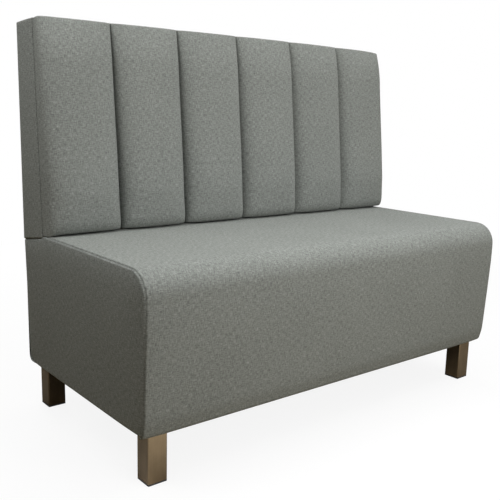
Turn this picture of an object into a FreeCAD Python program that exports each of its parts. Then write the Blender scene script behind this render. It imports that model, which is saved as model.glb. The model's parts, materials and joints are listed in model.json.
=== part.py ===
import FreeCAD, Part
import math
import os

# An upholstered bench sofa unit: a sprung seat base on four square tube legs, and a fluted back.
# Millimetres. X runs to the right as seen from the front, Y to the back and Z up.
# The origin is on the floor, under the middle of the unit.

# Overall sizes
WIDTH = 1200.0
DEPTH = 615.0
HEIGHT = 1000.0  # floor to the top border of the back
SEAT_HEIGHT = 480.0  # floor to the seam along the seat's side

# Cloth and padding
FABRIC = 1.5
DUST_SHEET = 1.0
DUST_MARGIN = 12.0  # from the dust sheet's edge to the outside of the covers
HEM = 32.0  # cloth turned under the base
SIDE_PAD = 6.0
FRONT_PAD = 18.0
SEAT_FOAM = 100.0
FELT = 3.0
CLEARANCE = 0.3  # between soft forms that meet

# Seat form
FRONT_ROUND = 60.0  # radius where the seat turns down to the front
FRONT_DRAW_IN = 12.0  # how far the front goes back at its lower edge
FRONT_EASE = 0.5  # how far the front goes back where the round starts
FRONT_BULGE_DROP = 100.0  # from the seat seam down to the fullest line of the front
SEAT_CROWN = 6.0  # rise of the seat's middle over its side seam
REAR_CROWN = 1.0  # rise of the seat's rear edge, under the back
SEAM_CROWN = 0.5  # rise along the side seam itself
CROWN_POWER = 8  # how flat the crown is between the side seams
CROWN_STEPS = 5  # sections from the middle to each side

# Wooden base
PLY = 18.0
BASE_REAR_ROUND = 16.0  # outer radius of the rear panel's lower edge
RIB_OFFSET = 200.0  # from the middle to each rib
RIB_DROP = 65.0  # from the top of the frame down to the top of a rib
LEG_BLOCK = 80.0
LEG_BLOCK_HEIGHT = 45.0
RAIL_WIDTH = 45.0
RAIL_HEIGHT = 36.0

# Seat springs
SPRING_COUNT = 7
SPRING_PITCH = 150.0
SPRING_WIRE = 3.8
SPRING_RUN = 28.0  # straight part of each cross run
SPRING_HALF_TURNS = 18
CLIP_STRIP = 1.2
CLIP_WIDTH = 22.0
CLIP_REACH = 6.0  # from the wire's middle to the clip's open end
WIRE_PLAY = 0.3
CLIP_SET_BACK = 20.0  # from the free edge of a spring rail to the end run of the spring

# Legs
LEG_HEIGHT = 123.0  # floor to the top of the leg
LEG_SIZE = 48.0
LEG_WALL = 2.0
LEG_CORNER = 3.0
LEG_CAP = 4.0
LEG_SIDE_INSET = 26.0  # from the unit's side to the leg
LEG_FRONT_INSET = 34.5  # from the unit's front to the leg
LEG_REAR_INSET = 14.5  # from the unit's rear to the leg
GLIDE_FLANGE = 4.0
GLIDE_PLUG = 18.0
GLIDE_FIT = 0.2
STUD_DIAMETER = 10.0
STUD_LENGTH = 46.0
STUD_FIT = 0.2
TEE_FLANGE_DIAMETER = 26.0
TEE_FLANGE = 2.0
TEE_BARREL_DIAMETER = 12.5
TEE_BARREL = 15.0
TEE_FIT = 0.3

# Back frame
BORDER_TOP = 92.0  # depth of the back's side border at the top
BORDER_SEAT = 117.0  # depth of the side border at its foot
JOINT_FRONT_DROP = 7.0  # from the seat seam down to the back's joint, at the border's front
JOINT_REAR_DROP = 25.0  # the same at the rear
FACE_BOARD = 6.0
POST = 45.0
BACK_RAIL = 45.0
MIDDLE_RAIL_HEIGHT = 720.0  # floor to the underside of the middle rail
BOTTOM_RAIL_GAP = 2.0  # from the front of the joint up to the bottom rail

# Flutes of the back
FLUTE_COUNT = 6
FLUTE_FLANK = 12.0  # depth of the sewn flank in a groove
FLUTE_END_FLANK = 34.0  # most depth of the flat flank at either end of the row
FLUTE_SHOULDER = 58.0  # width of the rounded shoulder beside a groove
FLUTE_END_SHOULDER = 40.0  # the same at either end of the row
FLUTE_CROWN = 3.0  # rise of the flute's face between its shoulders
FLUTE_TOP_RISE = 6.5  # how far the flutes stand over the top border
FLUTE_LUMBAR_RISE = 105.0  # from the flute's foot to its fullest place
FLUTE_LUMBAR_DEPTH = 76.0
FLUTE_HEAD_DEPTH = 53.0  # depth of the face where the top roll starts
FLUTE_FOOT_ROLL = 100.0  # height of the roll at the foot
FLUTE_FOOT_DEPTH = 67.0  # depth left at the foot's end
FLUTE_TOP_ROLL = 114.0  # height of the roll at the top
FLUTE_TOP_DEPTH = 28.0  # depth left at the top's end
FLUTE_ROLL_POWER = 1.6  # how soon a roll comes near its full depth
FLUTE_ROLL_STEPS = 5  # sections in each roll

# Bolts and screws
BOLT_DIAMETER = 8.0
BOLT_HEAD_DIAMETER = 16.0
BOLT_HEAD = 4.0
BOLT_FIT = 0.4
BOLT_TAIL = 4.0  # thread past the nut
BOLT_HEIGHTS = (215.0, 400.0)
WASHER_DIAMETER = 20.0
WASHER = 2.0
NUT_ACROSS_FLATS = 13.0
NUT = 6.5
SCREW_DIAMETER = 4.5
SCREW_LENGTH = 50.0
SCREW_HEAD_DIAMETER = 9.0
SCREW_HEAD = 3.0
SCREW_FIT = 0.2
SCREW_EDGE = 40.0  # from a panel's edge to the nearest screw

# Planes worked out from the sizes above
V = FreeCAD.Vector
X_AXIS = V(1, 0, 0)
Y_AXIS = V(0, 1, 0)
Z_AXIS = V(0, 0, 1)
HALF_WIDTH = WIDTH / 2
FRONT = -DEPTH / 2
REAR = DEPTH / 2
BASE_BOTTOM = LEG_HEIGHT + DUST_SHEET  # underside of the hems
FRAME_BOTTOM = BASE_BOTTOM + FABRIC
FRAME_TOP = SEAT_HEIGHT - FABRIC - SEAT_FOAM - FELT
BOARD_HALF = HALF_WIDTH - FABRIC - SIDE_PAD  # outside of the wooden sides
INNER_HALF = BOARD_HALF - PLY  # inside of the wooden sides
PANEL_FRONT = FRONT + FABRIC + FRONT_PAD
PANEL_FRONT_BACK = PANEL_FRONT + PLY
PANEL_REAR = REAR - FABRIC
PANEL_REAR_FRONT = PANEL_REAR - PLY
POST_FRONT = PANEL_REAR_FRONT - POST
BLOCK_TOP = FRAME_BOTTOM + LEG_BLOCK_HEIGHT
JOINT_REAR = SEAT_HEIGHT - JOINT_REAR_DROP
JOINT_FRONT = SEAT_HEIGHT - JOINT_FRONT_DROP
SEAT_REAR = REAR - BORDER_SEAT  # rear edge of the seat cover
CLIP_HEIGHT = 2 * CLIP_STRIP + SPRING_WIRE + 2 * WIRE_PLAY
RAIL_TOP = FRAME_TOP - CLEARANCE - CLIP_HEIGHT
WIRE_HEIGHT = RAIL_TOP + CLIP_HEIGHT / 2
SPRING_FRONT = PANEL_FRONT_BACK + RAIL_WIDTH - CLIP_SET_BACK
SPRING_REAR = SEAT_REAR - RAIL_WIDTH + CLIP_SET_BACK
FLUTE_WIDTH = WIDTH / FLUTE_COUNT
FLUTE_TOP = HEIGHT + FLUTE_TOP_RISE
OVERRUN = 5.0  # how far a cutting form runs past what it cuts
EDGE_REACH = 0.001  # how near an edge lies to the place that names it
COS45 = math.cos(math.pi / 4)

LEG_X = HALF_WIDTH - LEG_SIDE_INSET - LEG_SIZE / 2
LEG_Y = {"front": FRONT + LEG_FRONT_INSET + LEG_SIZE / 2, "rear": REAR - LEG_REAR_INSET - LEG_SIZE / 2}
SIDES = {"left": -1, "right": 1}
POST_X = {"left": -INNER_HALF + POST / 2, "centre": 0.0, "right": INNER_HALF - POST / 2}

nodes = {}


# Small shape helpers

def box(x0, x1, y0, y1, z0, z1):
    """A block between two corners."""
    return Part.makeBox(x1 - x0, y1 - y0, z1 - z0, V(x0, y0, z0))


def side_box(side, x0, x1, y0, y1, z0, z1):
    """A block on one side of the middle plane, with x0 and x1 measured outwards."""
    if side > 0:
        return box(x0, x1, y0, y1, z0, z1)
    return box(-x1, -x0, y0, y1, z0, z1)


def prism(points, x0, x1):
    """A closed (y, z) outline pulled from x0 to x1."""
    corners = [V(x0, y, z) for y, z in points]
    face = Part.Face(Part.makePolygon(corners + corners[:1]))
    return face.extrude(V(x1 - x0, 0, 0))


def side_prism(side, points, x0, x1):
    """A (y, z) outline pulled outwards from x0 to x1 on one side of the middle plane."""
    return prism(points, side * x0, side * x1)


def rod(x, y, z, axis, diameter, length):
    """A round rod from a point along an axis."""
    return Part.makeCylinder(diameter / 2, length, V(x, y, z), axis)


def rounded_square(x, y, z0, z1, size, corner):
    """An upright square bar with rounded corners."""
    half = size / 2
    bar = box(x - half, x + half, y - half, y + half, z0, z1)
    upright = [e for e in bar.Edges if abs(e.tangentAt(e.FirstParameter).z) > 0.9]
    return bar.makeFillet(corner, upright)


def round_edge(shape, y, z, radius):
    """A shape with the edge that runs along X at (y, z) rounded."""
    middles = [(edge, edge.CenterOfMass) for edge in shape.Edges]
    return shape.makeFillet(radius, [e for e, m in middles if math.hypot(m.y - y, m.z - z) < EDGE_REACH])


def arc(a, b, c):
    """An arc through three points."""
    return Part.Arc(a, b, c).toShape()


def line(a, b):
    """A straight edge between two points."""
    return Part.LineSegment(a, b).toShape()


def border_front(z):
    """The plane where the back's border meets its flutes, as a y for a height."""
    share = (z - JOINT_FRONT) / (HEIGHT - JOINT_FRONT)
    return SEAT_REAR + (BORDER_SEAT - BORDER_TOP) * share


def joint_height(y):
    """Height of the sloping joint between the back and the base."""
    share = (y - SEAT_REAR) / (REAR - SEAT_REAR)
    return JOINT_FRONT + (JOINT_REAR - JOINT_FRONT) * share


# Screws and the holes that they go in

def screw(x, y, z, axis):
    """A wood screw whose head is flush with the face that it enters at (x, y, z)."""
    head = rod(x, y, z, axis, SCREW_HEAD_DIAMETER, SCREW_HEAD)
    return head.fuse(rod(x, y, z, axis, SCREW_DIAMETER, SCREW_LENGTH)).removeSplitter()


def screw_hole(x, y, z, axis):
    """The room that such a screw takes."""
    head = rod(x, y, z, axis, SCREW_HEAD_DIAMETER + SCREW_FIT, SCREW_HEAD)
    return head.fuse(rod(x, y, z, axis, SCREW_DIAMETER + SCREW_FIT, SCREW_LENGTH))


def base_screw_places():
    """Screws through the front and rear panels into the sides and the ribs."""
    places = []
    side_x = BOARD_HALF - PLY / 2
    side_heights = (FRAME_BOTTOM + SCREW_EDGE, (FRAME_BOTTOM + FRAME_TOP) / 2, FRAME_TOP - SCREW_EDGE)
    rib_heights = (FRAME_BOTTOM + SCREW_EDGE, FRAME_TOP - RIB_DROP - SCREW_EDGE)
    for face_y, axis in ((PANEL_FRONT, Y_AXIS), (PANEL_REAR, -Y_AXIS)):
        for side in SIDES.values():
            places += [(side * side_x, face_y, z, axis) for z in side_heights]
            places += [(side * RIB_OFFSET, face_y, z, axis) for z in rib_heights]
    return places


def back_screw_places():
    """Screws through the cheeks into the three rails, two in each rail's end."""
    places = []
    for side in SIDES.values():
        for bottom in BACK_RAIL_BOTTOMS.values():
            z = bottom + BACK_RAIL / 2
            front = border_front(z) + FACE_BOARD
            for y in (front + (POST_FRONT - front) / 3, front + (POST_FRONT - front) * 2 / 3):
                places.append((side * BOARD_HALF, y, z, -side * X_AXIS))
    return places


def drilled(shape, places):
    """A wooden piece with the holes of every screw that reaches it."""
    for place in places:
        hole = screw_hole(*place)
        if shape.BoundBox.intersect(hole.BoundBox):
            shape = shape.cut(hole)
    return shape


def bolt_holes(shape):
    """A wooden piece with the holes of the bolts that hold the posts."""
    for x in POST_X.values():
        for z in BOLT_HEIGHTS:
            shape = shape.cut(rod(x, PANEL_REAR, z, -Y_AXIS, BOLT_DIAMETER + BOLT_FIT, PLY + POST))
            head = rod(x, PANEL_REAR, z, -Y_AXIS, BOLT_HEAD_DIAMETER + BOLT_FIT, BOLT_HEAD)
            shape = shape.cut(head)
    return shape


# Wooden base

def base_side_panel(side):
    """A side of the base, higher at the rear where the back stands on it."""
    outline = [
        (PANEL_FRONT_BACK, FRAME_BOTTOM),
        (PANEL_REAR_FRONT, FRAME_BOTTOM),
        (PANEL_REAR_FRONT, joint_height(PANEL_REAR_FRONT)),
        (SEAT_REAR, joint_height(SEAT_REAR)),
        (SEAT_REAR, FRAME_TOP),
        (PANEL_FRONT_BACK, FRAME_TOP),
    ]
    return drilled(side_prism(side, outline, INNER_HALF, BOARD_HALF), base_screw_places())


def base_front_panel():
    panel = box(-BOARD_HALF, BOARD_HALF, PANEL_FRONT, PANEL_FRONT_BACK, FRAME_BOTTOM, FRAME_TOP)
    return drilled(panel, base_screw_places())


def base_rear_panel():
    """The rear panel, rounded along its lower outer edge and drilled for screws and bolts."""
    panel = box(-BOARD_HALF, BOARD_HALF, PANEL_REAR_FRONT, PANEL_REAR, FRAME_BOTTOM, JOINT_REAR)
    panel = round_edge(panel, PANEL_REAR, FRAME_BOTTOM, BASE_REAR_ROUND)
    return bolt_holes(drilled(panel, base_screw_places()))


def base_rib(side):
    x = side * RIB_OFFSET
    top = FRAME_TOP - RIB_DROP
    rib = box(x - PLY / 2, x + PLY / 2, PANEL_FRONT_BACK, PANEL_REAR_FRONT, FRAME_BOTTOM, top)
    return drilled(rib, base_screw_places())


def spring_rail(y0):
    return box(-INNER_HALF, INNER_HALF, y0, y0 + RAIL_WIDTH, RAIL_TOP - RAIL_HEIGHT, RAIL_TOP)


def leg_places():
    """The middle of every leg."""
    return [(side * LEG_X, y) for y in LEG_Y.values() for side in SIDES.values()]


def leg_blocks():
    """Four hardwood blocks in the corners of the base, bored for the tee nuts."""
    blocks = []
    inner = INNER_HALF - LEG_BLOCK
    for end, y in LEG_Y.items():
        y0 = PANEL_FRONT_BACK if end == "front" else PANEL_REAR_FRONT - LEG_BLOCK
        for side in SIDES.values():
            x = side * LEG_X
            block = side_box(side, inner, INNER_HALF, y0, y0 + LEG_BLOCK, FRAME_BOTTOM, BLOCK_TOP)
            bore = rod(x, y, FRAME_BOTTOM, Z_AXIS, TEE_BARREL_DIAMETER + TEE_FIT, LEG_BLOCK_HEIGHT)
            seat = rod(x, y, BLOCK_TOP - TEE_FLANGE, Z_AXIS, TEE_FLANGE_DIAMETER + TEE_FIT, TEE_FLANGE)
            blocks.append(block.cut(bore).cut(seat))
    return Part.makeCompound(blocks)


# Seat springs

def zigzag_spring(x):
    """One wire in straight cross runs joined by half turns, from the front rail to the rear rail."""
    radius = (SPRING_REAR - SPRING_FRONT) / SPRING_HALF_TURNS / 2
    edges = []
    way = 1
    for turn in range(SPRING_HALF_TURNS + 1):
        y = SPRING_FRONT + 2 * radius * turn
        end = x + way * SPRING_RUN / 2
        edges.append(line(V(x - way * SPRING_RUN / 2, y, WIRE_HEIGHT), V(end, y, WIRE_HEIGHT)))
        if turn < SPRING_HALF_TURNS:
            outer = V(end + way * radius, y + radius, WIRE_HEIGHT)
            edges.append(arc(V(end, y, WIRE_HEIGHT), outer, V(end, y + 2 * radius, WIRE_HEIGHT)))
        way = -way
    start = V(x - SPRING_RUN / 2, SPRING_FRONT, WIRE_HEIGHT)
    section = Part.Wire([Part.Circle(start, X_AXIS, SPRING_WIRE / 2).toShape()])
    return Part.Wire(edges).makePipeShell([section], True, False)


def spring_places():
    first = -SPRING_PITCH * (SPRING_COUNT - 1) / 2
    return [first + SPRING_PITCH * index for index in range(SPRING_COUNT)]


def spring_clip(x, y, way):
    """A folded strip that holds a spring's end run on its rail, open towards the spring."""
    wall = SPRING_WIRE / 2 + WIRE_PLAY + CLIP_STRIP
    low, high = RAIL_TOP, RAIL_TOP + CLIP_HEIGHT
    outline = [
        (y - way * wall, low), (y + way * CLIP_REACH, low),
        (y + way * CLIP_REACH, low + CLIP_STRIP), (y - way * (wall - CLIP_STRIP), low + CLIP_STRIP),
        (y - way * (wall - CLIP_STRIP), high - CLIP_STRIP), (y + way * CLIP_REACH, high - CLIP_STRIP),
        (y + way * CLIP_REACH, high), (y - way * wall, high),
    ]
    return prism(outline, x - CLIP_WIDTH / 2, x + CLIP_WIDTH / 2)


# Seat padding and covers

def crown_arc(x, crown, rear_crown, inset):
    """The three points of the seat's top line at one x, from the front round to past its rear."""
    front = FRONT + FRONT_ROUND
    rear = SEAT_REAR + OVERRUN
    top = SEAT_HEIGHT - inset
    return V(x, front, top), V(x, (front + rear) / 2, top + crown), V(x, rear, top + rear_crown)


def seat_top(y):
    """Height of the seat's middle line, on the arc over its crown."""
    curve = arc(*crown_arc(0.0, SEAT_CROWN, REAR_CROWN, 0.0)).Curve
    return curve.Center.z + math.sqrt(curve.Radius ** 2 - (y - curve.Center.y) ** 2)


def seat_section(x, crown, rear_crown, inset):
    """The seat's (y, z) outline at one x: bulged front, rounded edge and crowned top.

    inset moves the outline in by a cloth's thickness. Its plain lower and rear ends run past the
    seat's own edges.
    """
    front = FRONT + inset
    radius = FRONT_ROUND - inset
    low = BASE_BOTTOM - OVERRUN
    round_top, crown_middle, back = crown_arc(x, crown, rear_crown, inset)
    foot = V(x, front + FRONT_DRAW_IN, low)
    full = V(x, front, SEAT_HEIGHT - FRONT_BULGE_DROP)
    round_low = V(x, front + FRONT_EASE, round_top.z - radius)
    round_middle = V(x, front + radius * (1 - COS45), round_top.z - radius * (1 - COS45))
    back_low = V(x, back.y, low)
    return Part.Wire([
        arc(foot, full, round_low),
        arc(round_low, round_middle, round_top),
        arc(round_top, crown_middle, back),
        line(back, back_low),
        line(back_low, foot),
    ])


def seat_form(inset):
    """The whole upholstered seat as one crowned block, lofted past both sides.

    The sections crowd towards the sides, where the crown, 1 - |x / half width| to a high power,
    falls off.
    """
    wires = []
    for step in range(-CROWN_STEPS, CROWN_STEPS + 1):
        share = math.sin(math.pi / 2 * step / CROWN_STEPS)
        fullness = 1 - abs(share) ** CROWN_POWER
        crown = SEAM_CROWN + (SEAT_CROWN - SEAM_CROWN) * fullness
        rear_crown = SEAM_CROWN + (REAR_CROWN - SEAM_CROWN) * fullness
        wires.append(seat_section(share * (HALF_WIDTH + OVERRUN), crown, rear_crown, inset))
    return Part.makeLoft(wires, True, True)


def rear_block(x0, x1, inset, low, radius):
    """The part of the base behind the seat's cover, with its rounded lower rear edge."""
    rear = REAR - inset
    outline = [
        (SEAT_REAR, low), (rear, low), (rear, joint_height(rear)), (SEAT_REAR, joint_height(SEAT_REAR)),
    ]
    return round_edge(prism(outline, x0, x1), rear, low, radius)


def side_slice(form, side, inner, outer, inset, low, radius):
    """A flat slice of the base's whole side, between two distances from the middle."""
    slab = side_box(side, inner, outer, FRONT - OVERRUN, SEAT_REAR, low, SEAT_HEIGHT + OVERRUN)
    behind = rear_block(side * inner, side * outer, inset, low, radius)
    return form.common(slab).fuse(behind).removeSplitter()


def seat_cover(outer, inner):
    """The cloth over the seat's top and down its front, with its hem under the base."""
    half = HALF_WIDTH - FABRIC
    slab = box(-half, half, FRONT - OVERRUN, SEAT_REAR, BASE_BOTTOM, HEIGHT)
    cover = outer.common(slab).cut(inner)
    hem_half = LEG_X - STUD_DIAMETER
    hem_front = FRONT + FRONT_DRAW_IN + FABRIC / 2
    hem = box(-hem_half, hem_half, hem_front, hem_front + HEM, BASE_BOTTOM, FRAME_BOTTOM)
    return cover.fuse(hem).removeSplitter()


def side_facing(outer, side):
    """The flat cloth side of the base, with its hem."""
    half = HALF_WIDTH - FABRIC
    cloth = side_slice(outer, side, half, HALF_WIDTH, 0.0, BASE_BOTTOM, BASE_REAR_ROUND + FABRIC)
    hem_end = LEG_Y["front"] + STUD_DIAMETER
    hem = side_box(side, half - HEM, half, hem_end, -hem_end, BASE_BOTTOM, FRAME_BOTTOM)
    return cloth.fuse(hem).removeSplitter()


def base_rear_cover():
    """The cloth over the base's rear, turned under its rounded lower edge."""
    half = HALF_WIDTH - FABRIC
    outer = rear_block(-half, half, 0.0, BASE_BOTTOM, BASE_REAR_ROUND + FABRIC)
    inner = rear_block(-half - OVERRUN, half + OVERRUN, FABRIC, FRAME_BOTTOM, BASE_REAR_ROUND)
    slab = box(-half, half, REAR - HEM, REAR, BASE_BOTTOM, joint_height(REAR))
    shell = outer.common(slab).cut(inner)
    return shell.cut(box(-half, half, REAR - HEM, PANEL_REAR, FRAME_BOTTOM + BASE_REAR_ROUND, HEIGHT))


def seat_foam(inner):
    slab = box(-BOARD_HALF, BOARD_HALF, FRONT, SEAT_REAR, FRAME_TOP + FELT, SEAT_HEIGHT + 2 * SEAT_CROWN)
    return inner.common(slab)


def front_pad(inner):
    slab = box(-BOARD_HALF, BOARD_HALF, FRONT, PANEL_FRONT, FRAME_BOTTOM, FRAME_TOP + FELT)
    return inner.common(slab)


def seat_side_pad(inner, side):
    outer = HALF_WIDTH - FABRIC
    return side_slice(inner, side, BOARD_HALF, outer, FABRIC, FRAME_BOTTOM, BASE_REAR_ROUND)


def felt_sheet():
    return box(-BOARD_HALF, BOARD_HALF, PANEL_FRONT, SEAT_REAR, FRAME_TOP, FRAME_TOP + FELT)


def dust_sheet():
    """The thin black sheet under the base, pierced by the leg studs."""
    half = HALF_WIDTH - DUST_MARGIN
    y0 = FRONT + FRONT_DRAW_IN + DUST_MARGIN
    y1 = REAR - BASE_REAR_ROUND - DUST_MARGIN
    sheet = box(-half, half, y0, y1, LEG_HEIGHT, BASE_BOTTOM)
    for x, y in leg_places():
        sheet = sheet.cut(rod(x, y, LEG_HEIGHT, Z_AXIS, STUD_DIAMETER + 2 * TEE_FIT, DUST_SHEET))
    return sheet


# Legs

def leg(x, y):
    """A square tube closed at the top by a welded cap that holds the stud."""
    tube = rounded_square(x, y, GLIDE_FLANGE, LEG_HEIGHT, LEG_SIZE, LEG_CORNER)
    bore = rounded_square(
        x, y, GLIDE_FLANGE, LEG_HEIGHT - LEG_CAP, LEG_SIZE - 2 * LEG_WALL, LEG_CORNER - LEG_WALL)
    return tube.cut(bore).cut(rod(x, y, LEG_HEIGHT - LEG_CAP, Z_AXIS, STUD_DIAMETER + STUD_FIT, LEG_CAP))


def leg_glides():
    """Four plastic feet, each with a flange under the tube and a plug inside it."""
    plug = LEG_SIZE - 2 * LEG_WALL - 2 * GLIDE_FIT
    glides = []
    for x, y in leg_places():
        flange = rounded_square(x, y, 0.0, GLIDE_FLANGE, LEG_SIZE, LEG_CORNER)
        stem = rounded_square(x, y, GLIDE_FLANGE, GLIDE_FLANGE + GLIDE_PLUG, plug, LEG_CORNER - LEG_WALL)
        glides.append(flange.fuse(stem))
    return Part.makeCompound(glides)


def leg_studs():
    start = LEG_HEIGHT - LEG_CAP
    return Part.makeCompound([rod(x, y, start, Z_AXIS, STUD_DIAMETER, STUD_LENGTH) for x, y in leg_places()])


def leg_tee_nuts():
    """A flanged nut let into the top of each leg block."""
    nuts = []
    for x, y in leg_places():
        flange = rod(x, y, BLOCK_TOP - TEE_FLANGE, Z_AXIS, TEE_FLANGE_DIAMETER, TEE_FLANGE)
        barrel = rod(x, y, BLOCK_TOP - TEE_BARREL, Z_AXIS, TEE_BARREL_DIAMETER, TEE_BARREL)
        bore = rod(x, y, BLOCK_TOP - TEE_BARREL, Z_AXIS, STUD_DIAMETER + STUD_FIT, TEE_BARREL)
        nuts.append(flange.fuse(barrel).cut(bore).removeSplitter())
    return Part.makeCompound(nuts)


# Back frame

BACK_TOP = HEIGHT - FABRIC  # top of the back's woodwork
BACK_RAIL_BOTTOMS = {
    "top": BACK_TOP - BACK_RAIL,
    "middle": MIDDLE_RAIL_HEIGHT,
    "bottom": JOINT_FRONT + BOTTOM_RAIL_GAP,
}


def back_outline(front_set_back, rear, top):
    """The back's side outline, from its sloping foot to its top."""
    return [
        (SEAT_REAR + front_set_back, joint_height(SEAT_REAR + front_set_back)), (rear, joint_height(rear)),
        (rear, top), (border_front(top) + front_set_back, top),
    ]


def back_cheek(side):
    outline = back_outline(FACE_BOARD, PANEL_REAR, BACK_TOP)
    return drilled(side_prism(side, outline, INNER_HALF, BOARD_HALF), back_screw_places())


def back_rail(bottom, rear):
    """A rail between the cheeks, its front planed to the slope of the face board."""
    top = bottom + BACK_RAIL
    outline = [
        (border_front(bottom) + FACE_BOARD, bottom), (rear, bottom), (rear, top),
        (border_front(top) + FACE_BOARD, top),
    ]
    return drilled(prism(outline, -INNER_HALF, INNER_HALF), back_screw_places())


def back_post(x):
    """A post from a leg block's height to the top rail, bolted to the base's rear panel."""
    post = box(
        x - POST / 2, x + POST / 2, POST_FRONT, PANEL_REAR_FRONT, BLOCK_TOP, BACK_RAIL_BOTTOMS["top"])
    return bolt_holes(post)


def face_board():
    low = joint_height(SEAT_REAR)
    outline = [
        (border_front(low), low), (border_front(low) + FACE_BOARD, low),
        (border_front(BACK_TOP) + FACE_BOARD, BACK_TOP), (border_front(BACK_TOP), BACK_TOP),
    ]
    return prism(outline, -BOARD_HALF, BOARD_HALF)


def back_bolts():
    """Bolts from the rear panel through the posts, with their washers and nuts on the inside."""
    length = PLY + POST + WASHER + NUT + BOLT_TAIL
    bolts, washers, nuts = [], [], []
    for x in POST_X.values():
        for z in BOLT_HEIGHTS:
            head = rod(x, PANEL_REAR, z, -Y_AXIS, BOLT_HEAD_DIAMETER, BOLT_HEAD)
            bolts.append(head.fuse(rod(x, PANEL_REAR, z, -Y_AXIS, BOLT_DIAMETER, length)).removeSplitter())
            hole = rod(x, POST_FRONT, z, -Y_AXIS, BOLT_DIAMETER + BOLT_FIT, WASHER + NUT)
            washers.append(rod(x, POST_FRONT, z, -Y_AXIS, WASHER_DIAMETER, WASHER).cut(hole))
            nuts.append(hexagon(x, POST_FRONT - WASHER, z).cut(hole))
    return Part.makeCompound(bolts), Part.makeCompound(washers), Part.makeCompound(nuts)


def hexagon(x, y, z):
    """A hexagon nut's block, pointing to the front."""
    radius = NUT_ACROSS_FLATS / math.sqrt(3)
    angles = [math.radians(60 * corner) for corner in range(6)]
    corners = [V(x + radius * math.cos(a), y, z + radius * math.sin(a)) for a in angles]
    return Part.Face(Part.makePolygon(corners + corners[:1])).extrude(V(0, -NUT, 0))


# Flutes and covers of the back

def flute_stations(inset):
    """(height, depth) of the flute's sections: the foot's roll, the lumbar line and the top's roll.

    At a share of its height, a roll lacks 1 - share, to a power, of its full depth.
    """
    low = seat_top(SEAT_REAR - FLUTE_FOOT_DEPTH) + CLEARANCE
    foot, top = [], []
    for step in range(FLUTE_ROLL_STEPS):
        rise = step / (FLUTE_ROLL_STEPS - 1)
        fullness = 1 - (1 - rise) ** FLUTE_ROLL_POWER
        foot_depth = FLUTE_FOOT_DEPTH + (FLUTE_LUMBAR_DEPTH - FLUTE_FOOT_DEPTH) * fullness
        top_depth = FLUTE_TOP_DEPTH + (FLUTE_HEAD_DEPTH - FLUTE_TOP_DEPTH) * fullness
        foot.append((low + inset + FLUTE_FOOT_ROLL * rise, foot_depth - inset))
        top.insert(0, (FLUTE_TOP - inset - FLUTE_TOP_ROLL * rise, top_depth - inset))
    return [*foot, (low + FLUTE_LUMBAR_RISE, FLUTE_LUMBAR_DEPTH - inset), *top]


def flute_section(middle, z, depth, inset, overrun, ends):
    """One level outline of a flute: two flanks, two rounded shoulders and a crowned face.

    Each shoulder is an arc that runs level into the face, and is at least as wide as it is deep.
    ends holds -1 or 1 for a left or right side that ends the row, where the flank is deeper.
    """
    half = FLUTE_WIDTH / 2 - inset
    back = border_front(z)

    def at(across, forward):
        return V(middle + across, back - forward, z)

    def side(way):
        """The top of one flank, the middle of its shoulder and where that meets the face."""
        flank, width = FLUTE_FLANK, FLUTE_SHOULDER
        if way in ends:
            flank, width = min(FLUTE_END_FLANK, (depth + inset) / 2), FLUTE_END_SHOULDER
        reach = depth + inset - FLUTE_CROWN - flank
        width = max(width, reach)
        radius = (width ** 2 + reach ** 2) / (2 * reach)
        half_turn = math.asin(width / radius) / 2
        across = half - width + radius * math.sin(half_turn)
        forward = depth - FLUTE_CROWN - radius * (1 - math.cos(half_turn))
        face = at(way * (half - width), depth - FLUTE_CROWN)
        return at(way * half, flank - inset), at(way * across, forward), face

    flank_left, shoulder_left, face_left = side(-1)
    flank_right, shoulder_right, face_right = side(1)
    crest = at((face_left.x + face_right.x) / 2 - middle, depth)
    return Part.Wire([
        line(at(-half, -overrun), flank_left),
        arc(flank_left, shoulder_left, face_left),
        arc(face_left, crest, face_right),
        arc(face_right, shoulder_right, flank_right),
        line(flank_right, at(half, -overrun)),
        line(at(half, -overrun), at(-half, -overrun)),
    ])


def flute_form(index, inset, overrun):
    """One flute of the row, lofted from its foot to its top."""
    middle = -HALF_WIDTH + FLUTE_WIDTH * (index + 0.5)
    ends = [way for way, last in ((-1, 0), (1, FLUTE_COUNT - 1)) if index == last]
    stations = flute_stations(inset)
    return Part.makeLoft([flute_section(middle, z, d, inset, overrun, ends) for z, d in stations], True, True)


def flute_cover(index):
    """The cloth of one flute, closed at its foot, top and flanks, and open to the face board."""
    return flute_form(index, 0.0, 0.0).cut(flute_form(index, FABRIC, OVERRUN))


def back_side_border(side):
    outline = back_outline(0.0, PANEL_REAR, HEIGHT)
    return side_prism(side, outline, HALF_WIDTH - FABRIC, HALF_WIDTH)


def back_side_pad(side):
    outline = back_outline(0.0, PANEL_REAR, BACK_TOP)
    return side_prism(side, outline, BOARD_HALF, HALF_WIDTH - FABRIC)


def back_top_border():
    half = HALF_WIDTH - FABRIC
    outline = [
        (border_front(BACK_TOP), BACK_TOP), (PANEL_REAR, BACK_TOP), (PANEL_REAR, HEIGHT),
        (border_front(HEIGHT), HEIGHT),
    ]
    return prism(outline, -half, half)


def back_rear_cover():
    return box(-HALF_WIDTH, HALF_WIDTH, PANEL_REAR, REAR, JOINT_REAR + CLEARANCE, HEIGHT)


# Assembly

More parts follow.
